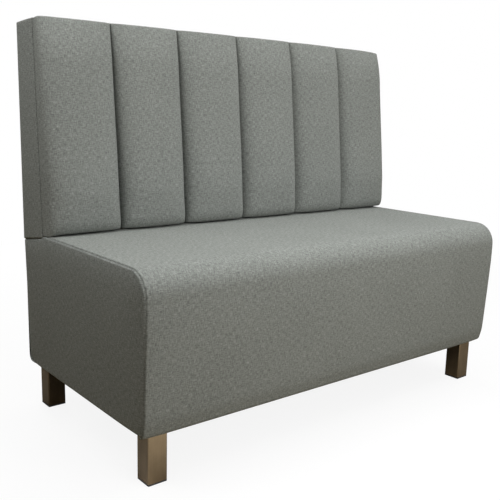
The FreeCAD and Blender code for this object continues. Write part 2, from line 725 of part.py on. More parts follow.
def build_base():
    """The wooden base, its springs and its legs."""
    for name, side in SIDES.items():
        nodes[f"base_side_panel_{name}"] = base_side_panel(side)
        nodes[f"base_rib_{name}"] = base_rib(side)
    nodes["base_front_panel"] = base_front_panel()
    nodes["base_rear_panel"] = base_rear_panel()
    nodes["spring_rail_front"] = spring_rail(PANEL_FRONT_BACK)
    nodes["spring_rail_rear"] = spring_rail(SEAT_REAR - RAIL_WIDTH)
    nodes["leg_blocks"] = leg_blocks()
    nodes["base_frame_screws"] = Part.makeCompound([screw(*place) for place in base_screw_places()])
    nodes["seat_springs"] = Part.makeCompound([zigzag_spring(x) for x in spring_places()])
    clips = [spring_clip(x, SPRING_FRONT, 1) for x in spring_places()]
    clips += [spring_clip(x, SPRING_REAR, -1) for x in spring_places()]
    nodes["spring_clips"] = Part.makeCompound(clips)
    for end, y in LEG_Y.items():
        for name, side in SIDES.items():
            nodes[f"leg_{end}_{name}"] = leg(side * LEG_X, y)
    nodes["leg_glides"] = leg_glides()
    nodes["leg_studs"] = leg_studs()
    nodes["leg_tee_nuts"] = leg_tee_nuts()


def build_seat():
    """The padding and the covers of the base."""
    outer = seat_form(0.0)
    inner = seat_form(FABRIC)
    nodes["felt_sheet"] = felt_sheet()
    nodes["seat_foam"] = seat_foam(inner)
    nodes["front_pad"] = front_pad(inner)
    nodes["seat_cover"] = seat_cover(outer, inner)
    for name, side in SIDES.items():
        nodes[f"seat_side_pad_{name}"] = seat_side_pad(inner, side)
        nodes[f"side_facing_{name}"] = side_facing(outer, side)
    nodes["base_rear_cover"] = base_rear_cover()
    nodes["dust_sheet"] = dust_sheet()


def build_back():
    """The back's frame, fixings, flutes and covers."""
    for name, side in SIDES.items():
        nodes[f"back_cheek_{name}"] = back_cheek(side)
        nodes[f"back_side_pad_{name}"] = back_side_pad(side)
        nodes[f"back_side_border_{name}"] = back_side_border(side)
    for name, x in POST_X.items():
        nodes[f"back_post_{name}"] = back_post(x)
    for name, bottom in BACK_RAIL_BOTTOMS.items():
        rear = PANEL_REAR if name == "top" else POST_FRONT
        nodes[f"back_{name}_rail"] = back_rail(bottom, rear)
    nodes["face_board"] = face_board()
    nodes["back_frame_screws"] = Part.makeCompound([screw(*place) for place in back_screw_places()])
    nodes["back_bolts"], nodes["back_washers"], nodes["back_nuts"] = back_bolts()
    for index in range(FLUTE_COUNT):
        nodes[f"flute_foam_{index + 1}"] = flute_form(index, FABRIC, 0.0)
        nodes[f"flute_cover_{index + 1}"] = flute_cover(index)
    nodes["back_top_border"] = back_top_border()
    nodes["back_rear_cover"] = back_rear_cover()


def main():
    build_base()
    build_seat()
    build_back()
    os.makedirs("parts", exist_ok=True)
    for name, shape in nodes.items():
        shape.exportStep(f"parts/{name}.step")
        print(f"{name}: {len(shape.Solids)} solids, valid {shape.isValid()}, {shape.Volume / 1000:.1f} cm3")


main()
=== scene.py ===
"""Looks of an upholstered bench sofa unit with a fluted back, on four square tube legs.

The woodwork, springs, fixings, legs and glides are the frame's own nodes and only get finishes here.
All cloth that shows is made new: six padded flutes, the seat's cover, the sides, the rear, the top and
the dust sheet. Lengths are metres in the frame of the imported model: X to the right, Y to the rear and
Z up from the floor.
"""

from __future__ import annotations

import json
import logging
import math
from dataclasses import dataclass
from enum import Enum
from typing import Sequence

import bpy
import numpy as np
from mathutils import Matrix, Vector


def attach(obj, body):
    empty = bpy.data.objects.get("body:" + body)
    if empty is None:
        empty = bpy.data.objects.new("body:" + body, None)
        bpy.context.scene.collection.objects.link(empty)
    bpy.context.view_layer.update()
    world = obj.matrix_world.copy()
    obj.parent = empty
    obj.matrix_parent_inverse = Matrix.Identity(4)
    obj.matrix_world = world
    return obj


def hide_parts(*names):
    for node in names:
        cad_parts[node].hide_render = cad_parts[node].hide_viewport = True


Array = np.ndarray
Piece = bpy.types.Object
Material = bpy.types.Material
Socket = bpy.types.NodeSocket
Triple = tuple[float, float, float]

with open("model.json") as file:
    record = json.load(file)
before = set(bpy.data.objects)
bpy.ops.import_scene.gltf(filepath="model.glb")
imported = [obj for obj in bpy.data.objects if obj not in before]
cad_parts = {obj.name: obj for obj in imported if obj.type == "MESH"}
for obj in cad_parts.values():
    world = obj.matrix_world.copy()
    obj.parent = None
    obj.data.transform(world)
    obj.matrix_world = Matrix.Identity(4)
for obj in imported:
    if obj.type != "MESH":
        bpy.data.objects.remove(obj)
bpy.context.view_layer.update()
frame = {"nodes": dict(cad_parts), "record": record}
LOG = logging.getLogger("sofa_unit")
CLOTH_UV = "cloth_uv"
CREASE = 0.0025
CREASE_REACH = 0.0012
NEAR = 1e-4


class Slot(Enum):
    """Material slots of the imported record."""

    PLYWOOD = "plywood"
    TIMBER = "timber"
    WEAVE = "grey_weave"
    DUST_CLOTH = "dust_cloth"
    SPRING_STEEL = "spring_steel"
    ZINC_STEEL = "zinc_steel"
    POLISHED_STEEL = "polished_steel"
    BLACK_PLASTIC = "black_plastic"


class Face(Enum):
    """Outer faces that flat covers lie on, as (across, up, outward) directions."""

    LEFT = ((0, 1, 0), (0, 0, 1), (-1, 0, 0))
    RIGHT = ((0, 1, 0), (0, 0, 1), (1, 0, 0))
    REAR = ((1, 0, 0), (0, 0, 1), (0, 1, 0))
    TOP = ((1, 0, 0), (0, 1, 0), (0, 0, 1))


class Side(Enum):
    """The unit's two sides."""

    LEFT = "left"
    RIGHT = "right"

    @property
    def face(self) -> Face:
        """Outer face of this side."""
        return Face[self.name]


@dataclass(frozen=True)
class UnitSizes:
    """Main sizes of the unit, near the solids'. The seat's are those of its padded middle."""

    half_width: float = 0.600
    front: float = -0.311
    rear: float = 0.3075
    base_bottom: float = 0.124
    seat_height: float = 0.4835
    seat_rear: float = 0.1905
    back_top: float = 1.000
    joint_front: float = 0.473
    joint_rear: float = 0.455
    joint_gap: float = 0.0003
    rear_lap: float = 0.001
    border_lean: float = 0.025
    front_round: float = 0.060
    front_draw_in: float = 0.0125
    full_height: float = 0.385
    front_tuck: float = 0.008
    front_tuck_height: float = 0.042
    front_hem_round: float = 0.018
    front_hem_drop: float = 0.0085
    side_fullness: float = 0.0085
    side_taper: float = 0.0060
    side_sink: float = 0.0075
    border_fullness: float = 0.0035
    border_sink: float = 0.0032
    brow_rise: float = 0.0045
    seam_sink: float = 0.0020
    seam_reach: float = 0.026
    edge_round: float = 0.002
    hem_round: float = 0.004
    hem_reach: float = 0.022
    rear_round: float = 0.0175

    def border_front(self, z: Array | float) -> Array | float:
        """Y of the leaning plane behind the flutes at height z."""
        rise = self.back_top - self.joint_front
        return self.seat_rear + self.border_lean * (z - self.joint_front) / rise

    def front_line(self, z: Array | float) -> Array | float:
        """Y of the padded front at height z.

        Below the fullest height it goes back almost evenly, and by a parabola more above the hem.

        Args:
            z: Heights.

        Returns:
            Y at each height.
        """
        depth = np.clip((self.full_height - z) / (self.full_height - self.base_bottom), 0.0, 1.0)
        low = np.clip(1 - (z - self.base_bottom) / self.front_tuck_height, 0.0, 1.0)
        return self.front + self.front_draw_in * depth**1.15 + self.front_tuck * low**2

    @property
    def seam_dip(self) -> float:
        """How far the seat's side seams lie below its padded top and front."""
        return float(rounded_edge(np.zeros(1), self.edge_round)[0]) + self.seam_sink

    @property
    def seam_half(self) -> float:
        """Half the width between the seat's side seams."""
        return self.half_width + self.side_fullness - self.side_sink - self.seam_dip + self.seam_sink


SIZES = UnitSizes()


# Lines and grids


def straight(start: Sequence[float], end: Sequence[float], count: int = 40) -> Array:
    """Points of a straight run.

    Args:
        start: First point.
        end: Last point.
        count: Number of points.

    Returns:
        Array of shape (count, 2).
    """
    share = np.linspace(0.0, 1.0, count)[:, None]
    return (1 - share) * np.asarray(start, float) + share * np.asarray(end, float)


def turn(centre: Sequence[float], radius: float, first: float, last: float, count: int = 24) -> Array:
    """Points of an arc: centre plus radius times (cosine, sine) of an angle that runs evenly.

    Args:
        centre: Centre of the arc.
        radius: Its radius.
        first: First angle in degrees.
        last: Last angle in degrees.
        count: Number of points.

    Returns:
        Array of shape (count, 2).
    """
    angle = np.radians(np.linspace(first, last, count))
    return np.asarray(centre, float) + radius * np.stack([np.cos(angle), np.sin(angle)], 1)


def run_lengths(line: Array) -> Array:
    """Length along a line of points up to each of them."""
    return np.concatenate([[0.0], np.cumsum(np.linalg.norm(np.diff(line, axis=0), axis=1))])


def sampled(line: Array, shares: Array) -> Array:
    """Points at given shares of a line's length.

    Args:
        line: Points of the line, shape (n, 2).
        shares: Shares of the length, from 0 to 1.

    Returns:
        Array of shape (len(shares), 2).
    """
    length = run_lengths(line)
    at = shares * length[-1]
    return np.stack([np.interp(at, length, line[:, k]) for k in range(line.shape[1])], 1)


def crowded(count: int, crowding: float = 1.0) -> Array:
    """Shares from 0 to 1 that crowd towards both ends: even steps mixed with half a cosine wave.

    Args:
        count: Number of steps.
        crowding: 0 for even steps, 1 for the full cosine.

    Returns:
        Array of count + 1 shares.
    """
    even = np.linspace(0.0, 1.0, count + 1)
    return (1 - crowding) * even + crowding * (1 - np.cos(np.pi * even)) / 2


def distance_to(line: Array, points: Array) -> Array:
    """Shortest distance from each point to a line of straight pieces.

    Args:
        line: Points of the line, shape (n, 2).
        points: Points of any grid, shape (..., 2).

    Returns:
        Array of distances in the grid's shape.
    """
    flat = points.reshape(-1, 1, 2)
    start, step = line[:-1], np.diff(line, axis=0)
    square = np.maximum((step**2).sum(1), 1e-16)
    share = np.clip(((flat - start) * step).sum(2) / square, 0.0, 1.0)
    gap = np.linalg.norm(flat - start - share[..., None] * step, axis=2)
    return gap.min(1).reshape(points.shape[:-1])


def rounded_edge(distance: Array, radius: float) -> Array:
    """Drop of a cover towards its seam: the first 45 degrees of a round, and a narrow sewn crease.

    The crease is a bell curve of the distance from the seam.

    Args:
        distance: Distance from the seam, measured on the flat cover.
        radius: Radius of the round.

    Returns:
        How far the cover lies below its plane.
    """
    off = radius * math.sqrt(0.5)
    inner = np.clip(off - distance, 0.0, off)
    return radius - np.sqrt(radius**2 - inner**2) + CREASE * np.exp(-((distance / CREASE_REACH) ** 2))


def seam_inset(radius: float) -> float:
    """How far the seam of a rounded corner lies inside the sharp corner."""
    return radius * (1 - math.sqrt(0.5))


def grid_faces(rows: int, columns: int, offset: int = 0) -> Array:
    """Corner numbers of the quads of a grid whose points are stored row by row."""
    number = np.arange(rows * columns).reshape(rows, columns) + offset
    return np.stack([number[:-1, :-1], number[:-1, 1:], number[1:, 1:], number[1:, :-1]], -1).reshape(-1, 4)


@dataclass
class ClothSheet:
    """A sheet of cloth as a grid of points, with its flat cut as UV coordinates in metres.

    Rows run along the second direction, so that across times up points outwards.
    """

    points: Array
    flat: Array
    sewn: Array

    def faces(self, offset: int = 0) -> Array:
        """Quads of the sheet, facing outwards."""
        return grid_faces(*self.points.shape[:2], offset)


def put_mesh(name: str, points: Array, faces: Array, flat: Array) -> Piece:
    """Makes an object at the origin from whole arrays.

    Args:
        name: Name of the piece.
        points: Points, shape (n, 3).
        faces: Corner numbers, shape (m, 4).
        flat: Flat cloth coordinates of each point, shape (n, 2).

    Returns:
        The new object, linked to the scene.
    """
    mesh = bpy.data.meshes.new(name)
    mesh.from_pydata(points.tolist(), [], faces.tolist())
    layer = mesh.uv_layers.new(name=CLOTH_UV)
    corner = np.empty(len(mesh.loops), np.int32)
    mesh.loops.foreach_get("vertex_index", corner)
    layer.data.foreach_set("uv", flat[corner].astype(np.float32).ravel())
    mesh.polygons.foreach_set("use_smooth", np.ones(len(mesh.polygons), bool))
    mesh.update()
    piece = bpy.data.objects.new(name, mesh)
    bpy.context.scene.collection.objects.link(piece)
    return piece


def open_cloth(name: str, sheet: ClothSheet, thickness: float) -> Piece:
    """Makes a cover from one sheet, smoothed once and thickened inwards into a closed shell.

    Args:
        name: Name of the cover.
        sheet: The sheet.
        thickness: Thickness of the cloth.

    Returns:
        The new object.
    """
    piece = put_mesh(name, sheet.points.reshape(-1, 3), sheet.faces(), sheet.flat.reshape(-1, 2))
    smooth(piece)
    shell = piece.modifiers.new("cloth_thickness", "SOLIDIFY")
    shell.thickness = thickness
    shell.offset = -1.0
    return piece


def closed_pad(name: str, sheet: ClothSheet) -> Piece:
    """Makes a closed pad: the sheet, and a back that spans straight between the sheet's two sides.

    The back's point at a share of the width is the same mix of the row's two end points. Front and
    back use the same points on the rim.

    Args:
        name: Name of the pad.
        sheet: The padded front.

    Returns:
        The new object.
    """
    rows, columns = sheet.points.shape[:2]
    share = np.linspace(0.0, 1.0, columns)[None, :, None]
    back = (1 - share) * sheet.points[:, :1] + share * sheet.points[:, -1:]
    number = np.arange(rows * columns).reshape(rows, columns)
    inner = number.copy()
    added = np.arange((rows - 2) * (columns - 2)).reshape(rows - 2, columns - 2)
    inner[1:-1, 1:-1] = rows * columns + added
    quads = np.stack([inner[:-1, :-1], inner[1:, :-1], inner[1:, 1:], inner[:-1, 1:]], -1).reshape(-1, 4)
    points = np.concatenate([sheet.points.reshape(-1, 3), back[1:-1, 1:-1].reshape(-1, 3)])
    flat = np.concatenate([sheet.flat.reshape(-1, 2), back[1:-1, 1:-1, ::2].reshape(-1, 2)])
    piece = put_mesh(name, points, np.concatenate([sheet.faces(), quads]), flat)
    smooth(piece)
    return piece


def smooth(piece: Piece) -> None:
    """Adds one level of subdivision.

    Args:
        piece: Piece to smooth.
    """
    subdivision = piece.modifiers.new("smooth", "SUBSURF")
    subdivision.levels = 1
    subdivision.render_levels = 1
    subdivision.boundary_smooth = "PRESERVE_CORNERS"


def settle(piece: Piece, slot: Slot, finish: Material, *nodes: str) -> None:
    """Puts a finished piece on the frame.

    Args:
        piece: The piece.
        slot: Record slot that its finish belongs to; not used.
        finish: Its material.
        nodes: Frame nodes that the piece stands for.
    """
    piece.data.materials.clear()
    piece.data.materials.append(finish)
    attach(piece, "root")
    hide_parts(*nodes)
    LOG.info("%s: %d points, stands for %s", piece.name, len(piece.data.vertices), ", ".join(nodes))


# Finishes


class NodeBench:
    """Adds and wires the nodes of one material or of the world."""

    def __init__(self, tree: bpy.types.NodeTree) -> None:
        """Clears the tree to work on."""
        self.tree = tree
        self.tree.nodes.clear()

    def add(self, kind: str, inputs: dict[str, object] | None = None, **settings: object) -> bpy.types.Node:
        """Adds a node.

        Args:
            kind: Blender's node type.
            inputs: Values or output sockets by input name.
            settings: Plain properties of the node.

        Returns:
            The new node.
        """
        node = self.tree.nodes.new(kind)
        for key, value in settings.items():
            setattr(node, key, value)
        for key, value in (inputs or {}).items():
            self.feed(node.inputs[key], value)
        return node

    def feed(self, socket: Socket, value: object) -> None:
        """Links an output socket, or sets a plain value.

        Args:
            socket: Input to feed.
            value: Output socket or value.
        """
        if isinstance(value, Socket):
            self.tree.links.new(value, socket)
        else:
            socket.default_value = value

    def cloth_coordinates(self) -> Socket:
        """Flat cloth coordinates of the piece, in metres."""
        return self.add("ShaderNodeUVMap", uv_map=CLOTH_UV).outputs["UV"]

    def object_coordinates(self) -> Socket:
        """Coordinates of the frame, in metres."""
        return self.add("ShaderNodeTexCoord").outputs["Object"]

    def noise(self, place: Socket, stretch: Sequence[float], detail: float = 2.0,
              roughness: float = 0.5) -> Socket:
        """Noise whose features have given lengths.

        Args:
            place: Coordinates to read.
            stretch: Length of a feature along each axis, in metres.
            detail: Octaves.
            roughness: Share of the finer octaves.

        Returns:
            The noise value, about 0.5 on average.
        """
        scale = tuple(1.0 / length for length in stretch)
        mapped = self.add("ShaderNodeMapping", {"Vector": place, "Scale": scale}).outputs["Vector"]
        inputs = {"Vector": mapped, "Scale": 1.0, "Detail": detail, "Roughness": roughness}
        return self.add("ShaderNodeTexNoise", inputs).outputs["Fac"]

    def ribs(self, place: Socket, pitch: float, axis: str) -> Socket:
        """Parallel ribs of a given pitch: a sine of the place along one axis, from 0 to 1."""
        inputs = {"Vector": place, "Scale": 0.314159 / pitch, "Distortion": 0.0}
        return self.add("ShaderNodeTexWave", inputs, wave_type="BANDS", bands_direction=axis).outputs["Fac"]

    def calculate(self, operation: str, first: object, second: object = 0.0) -> Socket:
        """One step of arithmetic.

        Args:
            operation: Blender's name of the step.
            first: First value or socket.
            second: Second value or socket.

        Returns:
            The result.
        """
        node = self.add("ShaderNodeMath", operation=operation)
        self.feed(node.inputs[0], first)
        self.feed(node.inputs[1], second)
        return node.outputs["Value"]

    def mixed(self, values: Sequence[tuple[Socket, float]]) -> Socket:
        """Weighted sum of several values.

        Args:
            values: (value, weight) pairs.

        Returns:
            The sum.
        """
        parts = [self.calculate("MULTIPLY", value, weight) for value, weight in values]
        total = parts[0]
        for part in parts[1:]:
            total = self.calculate("ADD", total, part)
        return total

    def ramp(self, value: Socket, stops: Sequence[tuple[float, Triple]]) -> Socket:
        """Colour that changes with a value.

        Args:
            value: Value to read.
            stops: (place, colour) pairs.

        Returns:
            The colour.
        """
        node = self.add("ShaderNodeValToRGB", {"Fac": value})
        elements = node.color_ramp.elements
        while len(elements) < len(stops):
            elements.new(0.5)
        for element, (place, colour) in zip(elements, stops):
            element.position = place
            element.color = (*colour, 1.0)
        return node.outputs["Color"]

    def span(self, value: Socket, low: float, high: float, start: float = 0.0, end: float = 1.0) -> Socket:
        """Carries a value from start..end to low..high."""
        inputs = {"Value": value, "From Min": start, "From Max": end, "To Min": low, "To Max": high}
        return self.add("ShaderNodeMapRange", inputs).outputs["Result"]

    def bump(self, height: Socket, depth: float, strength: float) -> Socket:
        """Surface normal of a height pattern that is depth metres deep."""
        inputs = {"Height": height, "Distance": depth, "Strength": strength}
        return self.add("ShaderNodeBump", inputs).outputs["Normal"]

    def surface(self, inputs: dict[str, object]) -> None:
        """Ends the material in one principled surface."""
        shader = self.add("ShaderNodeBsdfPrincipled", inputs)
        self.add("ShaderNodeOutputMaterial", {"Surface": shader.outputs["BSDF"]})


def blank(name: str) -> tuple[Material, NodeBench]:
    """A new node material.

    Args:
        name: Its name.

    Returns:
        The material and the bench that it is made on.
    """
    material = bpy.data.materials.new(name)
    material.use_nodes = True
    return material, NodeBench(material.node_tree)


def toned(colour: Sequence[float], factor: float) -> Triple:
    """A colour made lighter or darker."""
    return tuple(min(1.0, channel * factor) for channel in colour)


@dataclass(frozen=True)
class WeaveFinish:
    """Grey melange wool weave: crossing slubs of lighter and darker yarn over a fine plain weave."""

    colour: Triple = (0.214, 0.226, 0.210)
    contrast: float = 1.12
    yarn: float = 0.0016
    slub_yarns: float = 1.2
    slub: float = 0.011
    fleck: float = 0.0024
    patch: float = 0.16

    def material(self) -> Material:
        """Makes the material.

        The colour follows noise drawn out along the warp, noise drawn out along the weft, a coarser
        melange and a broad cloud. The bump is two sets of ribs at the yarn's pitch.

        Returns:
            The weave.
        """
        material, bench = blank("grey_melange_weave")
        place = bench.cloth_coordinates()
        width = self.yarn * self.slub_yarns
        warp = bench.noise(place, (width, self.slub, 1.0), roughness=0.6)
        weft = bench.noise(place, (self.slub, width, 1.0), roughness=0.6)
        melange = bench.noise(place, (self.fleck, self.fleck, 1.0), roughness=0.6)
        cloud = bench.noise(place, (self.patch, self.patch, 1.0))
        tone = bench.mixed([(warp, 0.38), (weft, 0.38), (melange, 0.20), (cloud, 0.04)])
        colour = bench.ramp(tone, [
            (0.30, toned(self.colour, 1 - self.contrast * 0.62)),
            (0.44, toned(self.colour, 1 - self.contrast * 0.22)),
            (0.56, toned(self.colour, 1 + self.contrast * 0.20)),
            (0.70, toned(self.colour, 1 + self.contrast * 0.80)),
        ])
        ends, picks = (bench.ribs(place, self.yarn, axis) for axis in "XY")
        ribs = bench.calculate("MAXIMUM", ends, picks)
        height = bench.mixed([(ribs, 0.5), (warp, 0.3), (weft, 0.3)])
        bench.surface({
            "Base Color": colour,
            "Roughness": bench.span(melange, 0.86, 0.98),
            "Specular IOR Level": 0.2,
            "Sheen Weight": 0.05,
            "Sheen Roughness": 0.55,
            "Sheen Tint": (0.80, 0.82, 0.78, 1.0),
            "Normal": bench.bump(height, depth=0.0006, strength=0.40),
        })
        return material


@dataclass(frozen=True)
class DustClothFinish:
    """Black non-woven cloth, with the pressed dots and loose fibres of such sheets."""

    colour: Triple = (0.022, 0.022, 0.023)
    pitch: float = 0.002

    def material(self) -> Material:
        """Makes the material: fibre noise for the tone, and dots at an even pitch for the bump.

        Returns:
            The dust cloth.
        """
        material, bench = blank("black_dust_cloth")
        place = bench.cloth_coordinates()
        fibre = bench.noise(place, (0.0008, 0.006, 1.0), detail=3.0, roughness=0.6)
        along, over = (bench.ribs(place, self.pitch, axis) for axis in "XY")
        dots = bench.calculate("MULTIPLY", along, over)
        colour = bench.ramp(fibre, [(0.3, toned(self.colour, 0.6)), (0.7, toned(self.colour, 1.6))])
        bench.surface({
            "Base Color": colour,
            "Roughness": bench.span(fibre, 0.80, 0.95),
            "Normal": bench.bump(bench.mixed([(dots, 0.6), (fibre, 0.4)]), depth=0.0003, strength=0.6),
        })
        return material


@dataclass(frozen=True)
class WoodFinish:
    """Bare wood with its grain drawn out along X or Z."""

    name: str
    light: Triple
    dark: Triple
    grain: Triple
    pores: float = 6

    def material(self) -> Material:
        """Makes the material: streaks of early and late wood, and fine pores.

        Returns:
            The wood.
        """
        material, bench = blank(self.name)
        place = bench.object_coordinates()
        streak = bench.noise(place, self.grain, detail=4.0, roughness=0.6)
        pore = bench.noise(place, tuple(length / self.pores for length in self.grain))
        tone = bench.mixed([(streak, 0.75), (pore, 0.25)])
        colour = bench.ramp(tone, [(0.32, self.dark), (0.62, self.light)])
        bench.surface({
            "Base Color": colour,
            "Roughness": bench.span(streak, 0.55, 0.75),
            "Normal": bench.bump(tone, depth=0.0004, strength=0.35),
        })
        return material


@dataclass(frozen=True)
class MetalFinish:
    """Bare or polished metal with drawn or rolled marks along one direction."""

    name: str
    colour: Triple
    marks: Triple
    smoothness: tuple[float, float]
    mark_depth: float = 0.00002

    def material(self) -> Material:
        """Makes the material: fine marks for tone and roughness, and a broad cloud of wear.

        Returns:
            The metal.
        """
        material, bench = blank(self.name)
        place = bench.object_coordinates()
        mark = bench.noise(place, self.marks, detail=3.0, roughness=0.6)
        cloud = bench.noise(place, (0.03, 0.03, 0.03))
        tone = bench.mixed([(mark, 0.6), (cloud, 0.4)])
        colour = bench.ramp(tone, [(0.30, toned(self.colour, 0.82)), (0.70, toned(self.colour, 1.15))])
        bench.surface({
            "Base Color": colour,
            "Metallic": 1.0,
            "Roughness": bench.span(tone, *self.smoothness),
            "Normal": bench.bump(mark, depth=self.mark_depth, strength=0.3),
        })
        return material


@dataclass(frozen=True)
class PlasticFinish:
    """Moulded black plastic with a fine spark-eroded grain."""

    colour: Triple = (0.018, 0.018, 0.019)

    def material(self) -> Material:
        """Makes the material: grain for the bump, scuffs for tone and roughness.

        Returns:
            The plastic.
        """
        material, bench = blank("black_moulded_plastic")
        place = bench.object_coordinates()
        grain = bench.noise(place, (0.0006, 0.0006, 0.0006))
        scuff = bench.noise(place, (0.010, 0.010, 0.003), detail=4.0, roughness=0.7)
        colour = bench.ramp(scuff, [(0.35, toned(self.colour, 0.8)), (0.75, toned(self.colour, 1.7))])
        bench.surface({
            "Base Color": colour,
            "Roughness": bench.span(scuff, 0.42, 0.62),
            "Normal": bench.bump(grain, depth=0.0001, strength=0.4),
        })
        return material


# Padding


@dataclass
class Padding:
    """Swells sewn sheets over their foam with a cloth simulation."""

    pressure: float
    cap: float
    frames: int = 20
    quality: int = 6
    tension: float = 15.0
    bending: float = 0.6

    def swell(self, sheets: Sequence[ClothSheet]) -> None:
        """Runs the simulation on all sheets at once and moves their points.

        Points on seams are pinned. No point moves further than the cap: a longer step is shortened to
        it along its own direction.

        Args:
            sheets: Sheets to swell, changed in place.
        """
        rest = np.concatenate([sheet.points.reshape(-1, 3) for sheet in sheets])
        starts = np.cumsum([0] + [sheet.sewn.size for sheet in sheets])
        faces = np.concatenate([sheet.faces(start) for sheet, start in zip(sheets, starts)])
        sewn = np.concatenate([sheet.sewn.ravel() for sheet in sheets])
        trial = put_mesh("cloth_trial", rest, faces, rest[:, :2])
        moved = self.simulate(trial, sewn)
        step = moved - rest
        length = np.linalg.norm(step, axis=1, keepdims=True)
        step *= np.minimum(1.0, self.cap / np.maximum(length, 1e-9))
        LOG.info("cloth: largest step %.1f mm, mean %.1f mm", length.max() * 1000, length.mean() * 1000)
        for sheet, start in zip(sheets, starts):
            part = step[start:start + sheet.sewn.size]
            sheet.points = sheet.points + part.reshape(sheet.points.shape)

    def simulate(self, trial: Piece, sewn: Array) -> Array:
        """Steps the cloth and takes its points.

        Args:
            trial: Object to simulate, removed afterwards.
            sewn: True for each pinned point.

        Returns:
            The points after the last frame, shape (n, 3).
        """
        scene = bpy.context.scene
        group = trial.vertex_groups.new(name="sewn")
        group.add(np.flatnonzero(sewn).tolist(), 1.0, "REPLACE")
        modifier = trial.modifiers.new("cloth", "CLOTH")
        cloth = modifier.settings
        cloth.quality = self.quality
        cloth.tension_stiffness = self.tension
        cloth.compression_stiffness = self.tension
        cloth.shear_stiffness = self.tension / 2
        cloth.bending_stiffness = self.bending
        cloth.use_pressure = True
        cloth.uniform_pressure_force = self.pressure
        cloth.effector_weights.gravity = 0.0
        cloth.vertex_group_mass = group.name
        modifier.point_cache.frame_start = 1
        modifier.point_cache.frame_end = self.frames
        for step in range(1, self.frames + 1):
            scene.frame_set(step)
        result = trial.evaluated_get(bpy.context.evaluated_depsgraph_get())
        moved = np.empty(len(trial.data.vertices) * 3, np.float32)
        result.data.vertices.foreach_get("co", moved)
        mesh = trial.data
        bpy.data.objects.remove(trial)
        bpy.data.meshes.remove(mesh)
        scene.frame_set(1)
        return moved.reshape(-1, 3).astype(float)


# Sub-assemblies


